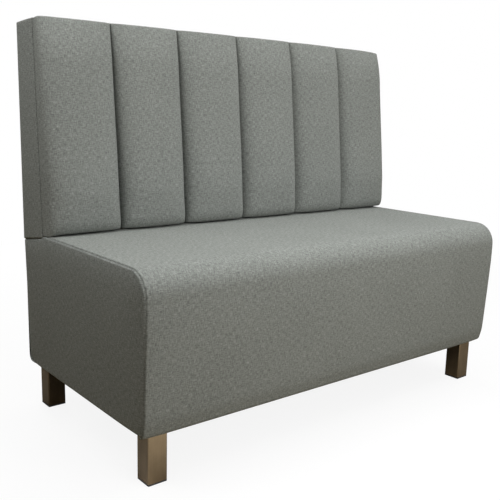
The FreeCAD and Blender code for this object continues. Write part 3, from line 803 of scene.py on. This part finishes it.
@dataclass
class FlutedBack:
    """The six padded flutes on the leaning face of the back."""

    finish: Material
    count: int = 6
    gap: float = 0.0008
    flank: float = 0.012
    inner_fullness: tuple[float, float] = (2.8, 2.0)
    swell_fullness: tuple[float, float] = (2.0, 0.4)
    right_swell: tuple[float, ...] = (0.1, 0.1, 0.4, 1.0, 1.0, 0.0)
    seam_wander: tuple[float, ...] = (0.0, 0.0, 0.0, 0.001, 0.004, 0.004, 0.0)
    left_fullness: tuple[float, float] = (3.2, 2.3)
    right_fullness: tuple[float, float] = (5.5, 3.6)
    right_fall: tuple[float, float] = (0.0043, 0.0035)
    fall_start: float = 0.5
    half_flute: float = 0.1
    foot: float = 0.4875
    top: float = 1.0070
    lumbar_height: float = 0.588
    lumbar_depth: float = 0.076
    head_depth: float = 0.053
    foot_roll: float = 0.100
    foot_depth: float = 0.067
    top_roll: float = 0.114
    top_depth: float = 0.028
    roll_power: float = 1.6
    roll_rows: int = 14
    body_rows: int = 36
    face_columns: int = 45
    fine_points: int = 1441
    curl: tuple[float, float] = (0.016, 0.030)
    curl_rows: tuple[float, ...] = (0.0, 0.02, 0.06, 0.13, 0.24, 0.4, 0.58, 0.78)
    row_gap: float = 0.004
    flank_columns: tuple[float, ...] = (-1.0, -0.96, -0.5)
    closing_rows: tuple[float, ...] = (0.0, 0.3, 0.65, 0.9)
    sewn_left: float = -0.97
    left_ease: tuple[float, float] = (0.0045, 0.007)
    ease_power: tuple[int, int] = (60, 14)
    ease_reach: float = 0.05
    end_bulge: tuple[float, float] = (0.002, 0.0035)
    straight_height: float = 0.08
    section_heights: tuple[float, float] = (0.70, 0.90)
    section_powers: tuple[float, ...] = (0.42, 0.78, 0.75, 0.90, 1.0)
    unevenness: float = 0.0006
    waves: tuple[float, float] = (9.0, 23.0)
    second_wave: float = 0.6
    uneven_depth: float = 0.05
    flat_shift: float = 0.37
    seed: int = 5

    def stations(self) -> tuple[Array, Array]:
        """Heights and depths of the flute's level sections.

        At a share of its height from the end, a roll lacks 1 less the share, to a power, of the way
        from the end's depth to the face. Between the rolls the depth runs straight up to the lumbar
        height and straight on to the head. The foot's edge is a quarter ellipse.

        Returns:
            Heights and depths, row by row from the foot.
        """
        rise = np.linspace(0.0, 1.0, self.roll_rows)
        full = 1 - (1 - rise) ** self.roll_power
        foot_z = self.foot + self.foot_roll * rise
        foot_d = self.foot_depth + (self.lumbar_depth - self.foot_depth) * full
        top_z = self.top - self.top_roll * rise[::-1]
        top_d = self.top_depth + (self.head_depth - self.top_depth) * full[::-1]
        body_z = np.linspace(foot_z[-1], top_z[0], self.body_rows)[1:-1]
        body_d = np.interp(body_z, [foot_z[-1], self.lumbar_height, top_z[0]],
                           [self.lumbar_depth, self.lumbar_depth, self.head_depth])
        height, depth = np.concatenate([foot_z, body_z, top_z]), np.concatenate([foot_d, body_d, top_d])
        inset, rise = self.curl
        curl_z = self.foot + rise * np.array(self.curl_rows)
        rest = height > curl_z[-1] + self.row_gap
        height = np.concatenate([curl_z, height[rest]])
        depth = np.concatenate([np.interp(curl_z, foot_z, foot_d), depth[rest]])
        inner = np.clip(1 - (height - self.foot) / rise, 0.0, 1.0)
        return height, depth - inset * (1 - np.sqrt(1 - inner**2))

    def section(self, number: int) -> tuple[Array, Array]:
        """Cross section of a flute of unit width and depth, from its left flank to its right.

        The face is a superellipse: across and forward are powers of a cosine and a sine. The powers
        are others on a side that ends the row, and the right side is boxier where the filling swells
        it. Its points are spaced evenly along its length. Each flank is a straight run at zero forward.

        Args:
            number: Number of the flute in the row, from 0.

        Returns:
            Across from -1 to 1 and forward from 0 to 1, with -1 standing for the seam on the board.
        """
        angle = np.radians(np.linspace(180.0, 0.0, self.fine_points))
        swollen = np.array(self.inner_fullness) + self.right_swell[number] * np.array(self.swell_fullness)
        left = self.left_fullness if number == 0 else self.inner_fullness
        right = self.right_fullness if number == self.count - 1 else swollen
        power = np.where(angle[:, None] > np.pi / 2, left, right)
        across = np.sign(np.cos(angle)) * np.abs(np.cos(angle)) ** (2 / power[:, 0])
        forward = np.abs(np.sin(angle)) ** (2 / power[:, 1])
        size = np.array([SIZES.half_width / self.count, self.head_depth - self.flank])
        shares = np.linspace(0.0, 1.0, self.face_columns)
        face = sampled(np.stack([across, forward], 1) * size, shares) / size
        flank = np.array(self.flank_columns)
        side = np.ones(len(flank))
        return (np.concatenate([-side, face[:, 0], side]),
                np.concatenate([flank, np.clip(face[:, 1], 0.0, 1.0), flank[::-1]]))

    def sheet(self, number: int, middle: float, half: float) -> ClothSheet:
        """Sheet of one flute.

        A point lies at the section's across times the half width, and in front of the leaning plane by
        the flank's depth plus the section's forward, to a power that changes with the height, times
        the rest of the depth: a low power makes the foot straight. The first and last rows close the
        flute's ends back to the plane. The top falls towards the row's right end by the square of X,
        and by a square more over the last half flute. The row's left corners, top and foot, ease down
        by a high power. Two sine waves along the height make the filling slightly uneven.

        Args:
            number: Number of the flute in the row, from 0. It also seeds the unevenness and shifts the
                flat cut, so that no two flutes have the same weave.
            middle: X of the flute's middle.
            half: Half its width.

        Returns:
            The sheet.
        """
        height, depth = self.stations()
        across, forward = self.section(number)
        changes = [self.foot, self.foot + self.straight_height, *self.section_heights, self.top]
        power = np.interp(height, changes, self.section_powers)
        front = np.clip(forward, 0.0, 1.0)
        face = self.flank + (depth[:, None] - self.flank) * front ** power[:, None]
        side = self.flank * (1 + np.clip(forward, -1.0, 0.0))
        reach = np.where(forward >= 0.0, face, side)
        close = np.array(self.closing_rows)[:, None]
        reach = np.concatenate([close * reach[:1], reach, close[::-1] * reach[-1:]])
        bulge = (1 - close[:, 0]) ** 2
        level = np.concatenate([self.foot - self.end_bulge[0] * bulge, height,
                                self.top - self.end_bulge[1] * bulge[::-1]])
        near_top = np.clip(1 - (self.top - level) / self.ease_reach, 0.0, 1.0)[:, None]
        near_foot = np.clip(1 - (level - self.foot) / self.ease_reach, 0.0, 1.0)[:, None]
        right = np.clip(middle + half * across, 0.0, None)
        last_half = np.clip(right / self.half_flute - (self.count - 1), 0.0, 1.0)
        fall = self.right_fall[0] * (right / self.fall_start) ** 2 + self.right_fall[1] * last_half**2
        corner = (number == 0) * ((1 - across) / 2) ** np.array(self.ease_power)[:, None]
        level = level[:, None] - near_top * (fall + self.left_ease[0] * corner[0])
        level = level - near_foot * self.left_ease[1] * corner[1]
        noise = np.random.default_rng(self.seed + number).uniform(-1.0, 1.0, 6)
        wave = noise[0] * np.sin(self.waves[0] * level + 3 * noise[1])
        wave = wave + self.second_wave * noise[2] * np.sin(self.waves[1] * level + 3 * noise[3])
        reach = reach + self.unevenness * wave * front * np.clip(reach / self.uneven_depth, 0.0, 1.0)
        x = middle + half * across + np.zeros_like(reach)
        points = np.stack([x, SIZES.border_front(level) - reach, level], -1)
        girth = run_lengths(np.stack([half * across, reach[len(reach) // 2]], 1))
        run = run_lengths(points[:, points.shape[1] // 2, 1:])
        shift = self.flat_shift * (self.seed + number)
        flat = np.stack(np.broadcast_arrays(girth[None, :] + shift, run[:, None]), -1)
        sewn = np.zeros(reach.shape, bool)
        rows, columns = len(self.closing_rows), len(self.flank_columns) + 1
        sewn[:rows] = sewn[-rows:] = True
        sewn[:, :columns] = sewn[:, -columns:] = True
        if number == 0:
            sewn[:, across < self.sewn_left] = True
        return ClothSheet(points, flat, sewn)

    def sheets(self) -> list[ClothSheet]:
        """Sheets of all flutes, between seams that are evenly spaced but for a slight wander.

        Returns:
            The sheets from left to right.
        """
        seams = np.linspace(-SIZES.half_width, SIZES.half_width, self.count + 1) + self.seam_wander
        return [self.sheet(number, (left + right) / 2, (right - left) / 2 - self.gap)
                for number, (left, right) in enumerate(zip(seams[:-1], seams[1:]))]

    def dress(self, sheets: Sequence[ClothSheet]) -> None:
        """Makes the pads and puts them on the frame.

        Args:
            sheets: The flutes' sheets from left to right.
        """
        for number, sheet in enumerate(sheets, 1):
            pad = closed_pad(f"flute_pad_{number}", sheet)
            settle(pad, Slot.WEAVE, self.finish, f"flute_cover_{number}", f"flute_foam_{number}")


@dataclass
class SeatCover:
    """The padded cover over the seat's top and down its front, with its hem under the base."""

    finish: Material
    crown: float = 0.001
    front_crown: float = 0.0005
    crown_power: float = 8.0
    thickness: float = 0.0020
    tuck: float = 0.012
    rear_set: float = 0.006
    rear_roll: float = 0.005
    front_rows: int = 26
    columns: int = 121
    sewn_edge: float = 0.006
    sewn_hem: float = 0.015
    sewn_rear: float = 0.150

    def profile(self) -> tuple[Array, Array]:
        """The cover's side line without its crown, from the hem round to the tuck behind the seat.

        Returns:
            (y, z) points spaced evenly in each stretch, and the crown at each point.
        """
        low, r = SIZES.base_bottom - SIZES.front_hem_drop, SIZES.front_hem_round
        foot = SIZES.front_line(low + r)
        hem = straight((foot + r + SIZES.hem_reach, low), (foot + r, low), count=4)
        under = turn((foot + r, low + r), r, -90, -180, count=7)
        z = np.linspace(low + r, SIZES.seat_height - SIZES.front_round, self.front_rows)
        wall = np.stack([SIZES.front_line(z), z], 1)
        centre = (SIZES.front + SIZES.front_round, SIZES.seat_height - SIZES.front_round)
        nose = turn(centre, SIZES.front_round, 180, 90, count=11)
        rear, seat = SIZES.seat_rear - self.rear_set, SIZES.seat_height
        top = straight((centre[0], seat), (rear, seat))
        roll = turn((rear, seat - self.rear_roll), self.rear_roll, 90, 0, count=5)
        end = rear + self.rear_roll
        down = straight((end, seat - self.rear_roll), (end, seat - self.tuck), count=3)
        line = np.concatenate([hem, under[1:], wall[1:], nose[1:], top[1:], roll[1:], down[1:]])
        middle, half = (centre[0] + rear) / 2, (rear - centre[0]) / 2
        on_top = np.clip(1 - ((line[:, 0] - middle) / half) ** 2, 0.0, 1.0) * (line[:, 1] > seat - NEAR)
        up = np.clip((line[:, 1] - low) / (seat - SIZES.front_round - low), 0.0, 1.0)
        on_front = 4 * up * (1 - up) * (line[:, 0] < centre[0])
        return line, self.crown * on_top + self.front_crown * on_front

    def sheet(self) -> ClothSheet:
        """Sheet of the cover.

        A point is the side line's point, moved outwards by the crown times one less the share of the
        half width to a high power, and inwards by the rounded edge and an exponential of the distance
        from the side seams. Columns crowd towards the seams by a parabola. The hem is mitred.

        Returns:
            The sheet, whose rows run from the hem to the tuck.
        """
        line, crown = self.profile()
        tangent = np.gradient(line, run_lengths(line), axis=0)
        tangent /= np.linalg.norm(tangent, axis=1, keepdims=True)
        outward = np.stack([-tangent[:, 1], tangent[:, 0]], 1)
        low = line[:, 1].min()
        mitre = np.clip(line[:, 0] - line[0, 0] + SIZES.hem_reach, 0.0, 1.0)
        half = SIZES.seam_half - np.where(line[:, 1] < low + NEAR, mitre, 0.0)
        part = np.linspace(-1.0, 1.0, self.columns)
        share = np.sign(part) * (1 - (1 - np.abs(part)) ** 2)
        x = half[:, None] * share[None, :]
        from_seam = half[:, None] - np.abs(x)
        lift = crown[:, None] * (1 - np.abs(share[None, :]) ** self.crown_power)
        lift = lift - rounded_edge(from_seam, SIZES.edge_round)
        lift = lift - SIZES.seam_sink * np.exp(-from_seam / SIZES.seam_reach)
        y = line[:, :1] + outward[:, :1] * lift
        z = line[:, 1:] + outward[:, 1:] * lift
        points = np.stack([x, y, z], -1)
        run = run_lengths(line)
        flat = np.stack(np.broadcast_arrays(SIZES.half_width * share[None, :], run[:, None]), -1)
        sewn = np.zeros(x.shape, bool)
        sewn[from_seam < self.sewn_edge] = True
        sewn[line[:, 1] < SIZES.base_bottom + self.sewn_hem] = True
        sewn[line[:, 0] > self.sewn_rear] = True
        return ClothSheet(points, flat, sewn)

    def dress(self, sheet: ClothSheet) -> None:
        """Makes the cover and puts it on the frame.

        Args:
            sheet: The cover's sheet.
        """
        cover = open_cloth("seat_cushion", sheet, self.thickness)
        settle(cover, Slot.WEAVE, self.finish, "seat_cover", "seat_foam", "front_pad", "felt_sheet")


@dataclass
class CoverPanel:
    """A flat cover between four seams, drawn over the edge below it where it has a hem."""

    name: str
    face: Face
    level: float
    bottom: Array
    right: Array
    top: Array
    left: Array
    steps: tuple[int, int]
    hem_round: float = 0.0
    fall: Triple = (0.0, 1.0, 0.0)
    soft_rim: Array | None = None
    sink: float = SIZES.side_sink
    reach: float = SIZES.seam_reach
    joined: bool = False

    def flat_grid(self) -> Array:
        """Grid between the four edges: the sum of both straight mixes less the mix of the corners.

        Returns:
            Flat points, row by row from the bottom.
        """
        a, b = crowded(self.steps[0]), crowded(self.steps[1])
        bottom, top = sampled(self.bottom, a)[None], sampled(self.top, a)[None]
        left, right = sampled(self.left, b)[:, None], sampled(self.right, b)[:, None]
        a, b = a[None, :, None], b[:, None, None]
        corners = (1 - a) * (1 - b) * bottom[:, :1] + a * (1 - b) * bottom[:, -1:]
        corners = corners + (1 - a) * b * top[:, :1] + a * b * top[:, -1:]
        return (1 - b) * bottom + b * top + (1 - a) * left + a * right - corners

    def sheet(self) -> ClothSheet:
        """Sheet of the cover.

        The cover lies on its plane, less the rounded edge near its seams, and less an exponential of
        the distance from a soft rim. The plane may fall evenly between two values of its second
        direction. On top this fades out from the left end to the middle. The left edge of a joined
        cover has no rounded edge. Where the cover has a hem, what lies below the edge's start is bent
        about the edge's axis: its run becomes an angle, up to a right angle, and then goes level.

        Returns:
            The sheet, facing outwards.
        """
        grid = self.flat_grid()
        rim = [self.bottom, self.right, self.top[::-1]]
        if not self.joined:
            rim.append(self.left[::-1])
        gap = distance_to(np.concatenate(rim), grid)
        across, up = grid[..., 0], grid[..., 1]
        amount, start, end = self.fall
        if self.face is Face.TOP:
            amount = amount * np.clip(-across / SIZES.half_width, 0.0, 1.0)
        plane = self.level - amount * np.clip((start - up) / (start - end), 0.0, 1.0)
        out = plane - rounded_edge(gap, SIZES.edge_round)
        if self.soft_rim is not None:
            out = out - self.sink * np.exp(-distance_to(self.soft_rim, grid) / self.reach)
        if self.hem_round:
            r = self.hem_round
            past = np.clip(SIZES.base_bottom + r - up, 0.0, None)
            angle = np.minimum(past / r, np.pi / 2)
            flat = np.maximum(past - r * np.pi / 2, 0.0)
            bent = plane - r + (r + out - plane) * np.cos(angle) - flat
            out = np.where(past > 0, bent, out)
            up = np.where(past > 0, SIZES.base_bottom + r - r * np.sin(angle), up)
        axes = np.array(self.face.value, float)
        points = across[..., None] * axes[0] + up[..., None] * axes[1] + out[..., None] * axes[2]
        if np.dot(np.cross(axes[0], axes[1]), axes[2]) < 0:
            points, grid = points[:, ::-1], grid[:, ::-1]
        return ClothSheet(points, grid.copy(), np.ones(points.shape[:2], bool))


@dataclass
class Casing:
    """The flat covers of the base and the back: sides, rear and top."""

    finish: Material
    thickness: float = 0.0015
    front_points: int = 60
    hem_mitre: float = 0.03
    joint_start: float = 0.002
    border_reach: float = 0.020

    def side_facing(self, side: Side) -> CoverPanel:
        """Cover of one side of the base, cut to the seat's side line with its rounded front.

        Args:
            side: Side of the unit.

        Returns:
            The panel, with (y, z) as its flat directions.
        """
        s, inset, dip = SIZES, seam_inset(SIZES.edge_round), SIZES.seam_dip
        low = s.base_bottom + s.hem_round * (1 - np.pi / 2) - s.hem_reach
        z = np.linspace(s.base_bottom, s.seat_height - s.front_round, self.front_points)
        front = np.stack([s.front_line(z) + dip, z], 1)
        nose = turn((s.front + s.front_round, s.seat_height - s.front_round), s.front_round - dip, 180, 90)
        mitre = straight((s.front_line(s.base_bottom) + self.hem_mitre, low), front[0], count=12)
        corner = turn((s.rear - s.rear_round, s.base_bottom + s.rear_round), s.rear_round - inset, -90, 0)
        hem_end = straight((corner[0, 0] - self.hem_mitre, low), corner[0], count=12)
        left = np.concatenate([mitre[:-1], front, nose[1:]])
        right = np.concatenate([hem_end[:-1], corner, [[s.rear - inset, s.joint_rear - s.joint_gap]]])
        seam = straight(nose[-1], (s.seat_rear, s.seat_height - dip))
        joint_start = (s.seat_rear + self.joint_start, s.joint_front - s.joint_gap)
        joint = straight(joint_start, right[-1], count=20)
        top = np.concatenate([seam, joint])
        bottom = straight(mitre[0], hem_end[0])
        return CoverPanel(f"side_facing_pad_{side.value}", side.face, s.half_width + s.side_fullness,
                          bottom, right, top, left, steps=(72, 64), hem_round=s.hem_round,
                          fall=(s.side_taper, s.joint_rear, s.base_bottom),
                          soft_rim=np.concatenate([front, nose[1:], top[1:], corner[::-1]]))

    def back_border(self, side: Side) -> CoverPanel:
        """Cover of one side of the back, between the flutes' seam and the rear.

        Args:
            side: Side of the unit.

        Returns:
            The panel, with (y, z) as its flat directions.
        """
        s, inset = SIZES, seam_inset(SIZES.edge_round)
        foot = (s.border_front(s.joint_front), s.joint_front + s.joint_gap)
        heel = (s.rear - inset, s.joint_rear + s.joint_gap)
        crest = (s.rear - inset, s.back_top - inset)
        brow = (s.border_front(s.back_top), s.back_top + s.brow_rise * (side is Side.LEFT) - inset)
        return CoverPanel(f"back_border_pad_{side.value}", side.face, s.half_width + s.border_fullness,
                          straight(foot, heel), straight(heel, crest), straight(brow, crest),
                          straight(foot, brow), steps=(24, 60), soft_rim=straight(foot, brow),
                          sink=s.border_sink, reach=self.border_reach, joined=True)

    def box_cover(self, name: str, face: Face, level: float, low: tuple[float, float],
                  high: tuple[float, float], steps: tuple[int, int], hem_round: float = 0.0) -> CoverPanel:
        """Four-sided cover from its lowest to its highest corner.

        Args:
            name: Name of the piece.
            face: Face it lies on.
            level: Distance of its plane from the origin.
            low: Lower left corner.
            high: Upper right corner.
            steps: Grid steps across and up.
            hem_round: Radius of the edge that it is drawn over below, or 0.

        Returns:
            The panel.
        """
        (x0, y0), (x1, y1) = low, high
        rise = SIZES.brow_rise if face is Face.TOP else 0.0
        return CoverPanel(name, face, level, straight((x0, y0), (x1, y0)), straight((x1, y0), (x1, y1)),
                          straight((x0, y1), (x1, y1)), straight((x0, y0), (x0, y1)), steps,
                          hem_round=hem_round, fall=(-rise, y1, y0))

    def dress(self) -> None:
        """Makes all covers and puts them on the frame."""
        s, inset = SIZES, seam_inset(SIZES.edge_round)
        half = s.half_width - inset
        for side in Side:
            end = side.value
            self.put(self.side_facing(side), f"side_facing_{end}", f"seat_side_pad_{end}")
            self.put(self.back_border(side), f"back_side_border_{end}", f"back_side_pad_{end}")
        low = s.base_bottom + s.rear_round * (1 - np.pi / 2) - s.hem_reach
        self.put(self.box_cover("base_rear_cloth", Face.REAR, s.rear, (-half, low),
                                (half, s.joint_rear + s.rear_lap), steps=(72, 40), hem_round=s.rear_round),
                 "base_rear_cover")
        self.put(self.box_cover("back_rear_cloth", Face.REAR, s.rear, (-half, s.joint_rear - s.rear_lap),
                                (half, s.back_top - inset), steps=(72, 48)), "back_rear_cover")
        self.put(self.box_cover("back_top_cloth", Face.TOP, s.back_top, (-half, s.border_front(s.back_top)),
                                (half, s.rear - inset), steps=(72, 16)), "back_top_border")

    def put(self, panel: CoverPanel, *nodes: str) -> None:
        """Args:
            panel: The cover's panel.
            nodes: Frame nodes that it stands for.
        """
        cover = open_cloth(panel.name, panel.sheet(), self.thickness)
        settle(cover, Slot.WEAVE, self.finish, *nodes)


@dataclass
class Underside:
    """The black dust sheet stapled under the base."""

    finish: Material
    half_width: float = 0.588
    front: float = -0.288
    rear: float = 0.2795
    level: float = 0.1237
    sag: float = 0.004
    ripple: float = 0.12
    steps: tuple[int, int] = (60, 36)
    crowding: float = 0.3
    thickness: float = 0.0008

    def dress(self) -> None:
        """Makes the sheet: level at its rim, with a rippled sag that is the product of two parabolas."""
        a, b = (2 * crowded(count, self.crowding) - 1 for count in self.steps)
        x = self.half_width * a[None, :] + 0 * b[:, None]
        y = (self.rear + self.front) / 2 + (self.rear - self.front) / 2 * b[:, None] + 0 * a[None, :]
        bowl = (1 - a[None, :] ** 2) * (1 - b[:, None] ** 2)
        ripple = self.ripple * np.sin(31 * x + 3 * y) * np.sin(27 * y - 5 * x)
        z = self.level - self.sag * bowl * (1 + ripple)
        points = np.stack([x, y, z], -1)[:, ::-1]
        sheet = ClothSheet(points, points[..., :2].copy(), np.zeros(x.shape, bool))
        cloth = open_cloth("dust_cloth_sheet", sheet, self.thickness)
        settle(cloth, Slot.DUST_CLOTH, self.finish, "dust_sheet")


@dataclass
class Framework:
    """The frame's own nodes that stay: woodwork, springs, fixings, legs and glides."""

    finishes: dict[Slot, Material]

    def dress(self) -> None:
        """Gives every node that is still shown the finish of its slot."""
        for part in frame["record"]["subparts"]:
            node = frame["nodes"][part["node"]]
            if node.hide_render:
                continue
            node.data.materials.clear()
            node.data.materials.append(self.finishes[Slot(part["material_slot"])])
            LOG.info("%s: %s", part["node"], part["material_slot"])


@dataclass
class SoftLamp:
    """A square soft box."""

    name: str
    place: Triple
    aim: Triple
    size: float
    power: float

    def hang(self) -> None:
        """Adds the lamp, turned to what it aims at."""
        data = bpy.data.lights.new(self.name, "AREA")
        data.shape = "SQUARE"
        data.size = self.size
        data.energy = self.power
        lamp = bpy.data.objects.new(self.name, data)
        lamp.location = self.place
        lamp.rotation_mode = "QUATERNION"
        lamp.rotation_quaternion = (Vector(self.aim) - Vector(self.place)).to_track_quat("-Z", "Y")
        bpy.context.scene.collection.objects.link(lamp)


@dataclass
class Studio:
    """Pale floor, soft light and the camera."""

    eye: Triple = (-1.30348, -1.5035, 0.79779)
    yaw: float = -38.92
    pitch: float = -10.96
    roll: float = 1.42
    lens: float = 51.72
    sensor: float = 36.0
    ambient: float = 0.03
    floor_reach: float = 30.0
    bounce: Triple = (0.15, 0.10, 0.02)
    pale: Triple = (0.95, 0.95, 0.95)
    # painted shade: the dark floor that a gloss sees under and beside the unit
    dark: Triple = (0.060, 0.045, 0.020)
    white_share: tuple[float, float] = (0.88, 1.0)
    white_reach: tuple[float, float] = (1.0, 2.6)
    # painted light: pale pools on the floor that a gloss sees, with their stretch, fade, centres and
    # brightness
    painted_pool_stretch: Triple = (0.6, 1.0, 1.0)
    painted_pool_span: tuple[float, float] = (0.20, 1.05)
    painted_light_pools: tuple[tuple[Triple, float], ...] = (
        ((-0.21, -0.75, 0.0), 1.0),
        ((-0.70, 0.50, 0.0), 0.2),
    )
    lamps: tuple[SoftLamp, ...] = (
        SoftLamp("top_rear_lamp", (0.2, 0.9, 2.9), (0.0, -0.1, 0.5), 2.0, 28.0),
        SoftLamp("front_lamp", (0.0, -2.0, 0.9), (0.0, -0.3, 0.4), 1.4, 21.5),
        SoftLamp("edge_lamp", (0.1, -1.0, 1.45), (0.0, -0.3, 0.45), 0.9, 6.0),
        SoftLamp("right_lamp", (1.8, -0.6, 2.6), (0.0, -0.1, 0.4), 1.6, 37.0),
        SoftLamp("left_lamp", (-1.5, 0.0, 1.8), (-0.6, 0.0, 0.5), 0.8, 12.5),
        SoftLamp("left_top_lamp", (-1.0, -0.1, 2.4), (-0.6, -0.1, 0.4), 0.8, 9.0),
        SoftLamp("rear_lamp", (0.4, 3.0, 1.3), (0.0, 0.3, 0.5), 1.6, 34.0),
    )

    def build(self) -> None:
        """Builds the floor, the light and the camera."""
        self.lay_floor()
        self.light_room()
        for lamp in self.lamps:
            lamp.hang()
        self.place_camera()
        bpy.context.scene.view_settings.view_transform = "Standard"

    @staticmethod
    def in_gloss(path: bpy.types.Node, bench: NodeBench) -> Socket:
        """1 for rays from a gloss or through glass, and else 0."""
        rays = path.outputs
        return bench.calculate("MAXIMUM", rays["Is Glossy Ray"], rays["Is Transmission Ray"])

    @staticmethod
    def blend(bench: NodeBench, share: object, first: Socket, second: Socket) -> Socket:
        """Mixes two shaders.

        Args:
            bench: Bench to work on.
            share: Share of the second shader.
            first: First shader.
            second: Second shader.

        Returns:
            The mix.
        """
        mix = bench.add("ShaderNodeMixShader", {"Fac": share})
        bench.feed(mix.inputs[1], first)
        bench.feed(mix.inputs[2], second)
        return mix.outputs["Shader"]

    def lay_floor(self) -> None:
        """Lays a pale floor that keeps a soft shadow.

        The camera sees it as white as the background but for a light shadow near the unit, a gloss
        sees painted pools of light on a floor painted dark as shade, and the light that it throws back on
        the cloth is dim and warm.
        """
        corners = self.floor_reach * np.array([[-1, -1, 0], [1, -1, 0], [1, 1, 0], [-1, 1, 0]], float)
        floor = put_mesh("studio_floor", corners, np.array([[0, 1, 2, 3]]), corners[:, :2])
        material, bench = blank("pale_floor")
        warm, pale, dark = (
            bench.add("ShaderNodeBsdfDiffuse", {"Color": (*colour, 1.0)}).outputs["BSDF"]
            for colour in (self.bounce, self.pale, self.dark))
        white = {"Color": (1.0, 1.0, 1.0, 1.0), "Strength": 1.0}
        glow = bench.add("ShaderNodeEmission", white).outputs["Emission"]
        path = bench.add("ShaderNodeLightPath")
        away = bench.add("ShaderNodeVectorMath", {0: bench.object_coordinates()}, operation="LENGTH")
        whiter = bench.span(away.outputs["Value"], *self.white_share, *self.white_reach)
        seen = self.blend(bench, whiter, pale, glow)
        along = bench.add("ShaderNodeVectorMath", {0: bench.object_coordinates(), 1: self.painted_pool_stretch},
                          operation="MULTIPLY").outputs["Vector"]
        # painted light and shade for gloss rays: the floor is pale in the painted pools and painted dark
        # elsewhere
        share: object = 0.0
        for place, light in self.painted_light_pools:
            painted_pool_node = bench.add("ShaderNodeVectorMath", {0: along, 1: place}, operation="DISTANCE")
            painted_pool_share = bench.span(painted_pool_node.outputs["Value"], light, 0.0, *self.painted_pool_span)
            share = bench.calculate("MAXIMUM", share, painted_pool_share)
        gloss_floor_with_painted_light = self.blend(bench, share, dark, pale)
        mixed = self.blend(bench, self.in_gloss(path, bench), warm, gloss_floor_with_painted_light)
        mixed = self.blend(bench, path.outputs["Is Camera Ray"], mixed, seen)
        bench.add("ShaderNodeOutputMaterial", {"Surface": mixed})
        floor.data.materials.append(material)

    def light_room(self) -> None:
        """Gives the world a plain dim light, and white where the camera or a gloss sees it."""
        world = bpy.data.worlds.new("studio")
        world.use_nodes = True
        bench = NodeBench(world.node_tree)
        dim = bench.add("ShaderNodeBackground", {"Color": (1.0, 1.0, 1.0, 1.0), "Strength": self.ambient})
        white = bench.add("ShaderNodeBackground", {"Color": (1.0, 1.0, 1.0, 1.0), "Strength": 1.0})
        path = bench.add("ShaderNodeLightPath")
        seen = bench.calculate("MAXIMUM", path.outputs["Is Camera Ray"], self.in_gloss(path, bench))
        mixed = self.blend(bench, seen, dim.outputs["Background"], white.outputs["Background"])
        bench.add("ShaderNodeOutputWorld", {"Surface": mixed})
        bpy.context.scene.world = world

    def place_camera(self) -> None:
        """Places the camera: the view turns by yaw about Z, then by pitch, then by roll about itself."""
        yaw, pitch, roll = (math.radians(angle) for angle in (self.yaw, self.pitch, self.roll))
        ahead = Vector((-math.sin(yaw) * math.cos(pitch), math.cos(yaw) * math.cos(pitch), math.sin(pitch)))
        level = ahead.cross(Vector((0, 0, 1))).normalized()
        upright = level.cross(ahead)
        right = math.cos(roll) * level + math.sin(roll) * upright
        up = -math.sin(roll) * level + math.cos(roll) * upright
        matrix = Matrix((right, up, -ahead)).transposed().to_4x4()
        matrix.translation = Vector(self.eye)
        data = bpy.data.cameras.new("photo_camera")
        data.lens = self.lens
        data.sensor_width = self.sensor
        camera = bpy.data.objects.new("photo_camera", data)
        camera.matrix_world = matrix
        bpy.context.scene.collection.objects.link(camera)
        bpy.context.scene.camera = camera


def frame_finishes() -> dict[Slot, Material]:
    """Finishes of the frame's own nodes.

    Returns:
        Material by slot.
    """
    finishes = {
        Slot.PLYWOOD: WoodFinish("birch_plywood", (0.60, 0.45, 0.28),
                                 (0.44, 0.31, 0.18), (0.18, 0.009, 0.02)),
        Slot.TIMBER: WoodFinish("planed_softwood", (0.62, 0.46, 0.28),
                                (0.42, 0.27, 0.13), (0.25, 0.006, 0.01)),
        Slot.SPRING_STEEL: MetalFinish("drawn_spring_wire", (0.30, 0.30, 0.31),
                                       (0.02, 0.02, 0.0008), (0.35, 0.55)),
        Slot.ZINC_STEEL: MetalFinish("zinc_plating", (0.60, 0.60, 0.58),
                                     (0.004, 0.004, 0.004), (0.28, 0.45)),
        Slot.POLISHED_STEEL: MetalFinish("polished_leg_tube", (0.235, 0.172, 0.102),
                                         (0.0015, 0.0015, 0.09), (0.12, 0.18)),
        Slot.BLACK_PLASTIC: PlasticFinish(),
    }
    return {slot: finish.material() for slot, finish in finishes.items()}


def main() -> None:
    """Builds, pads and dresses all pieces, then the studio."""
    logging.basicConfig(level=logging.INFO, format="%(name)s: %(message)s")
    weave = WeaveFinish().material()
    back, seat = FlutedBack(weave), SeatCover(weave)
    flutes, cover = back.sheets(), seat.sheet()
    Padding(pressure=4.0, cap=0.008).swell([*flutes, cover])
    back.dress(flutes)
    seat.dress(cover)
    Casing(weave).dress()
    Underside(DustClothFinish().material()).dress()
    Framework(frame_finishes()).dress()
    Studio().build()


if __name__ == "__main__":
    main()
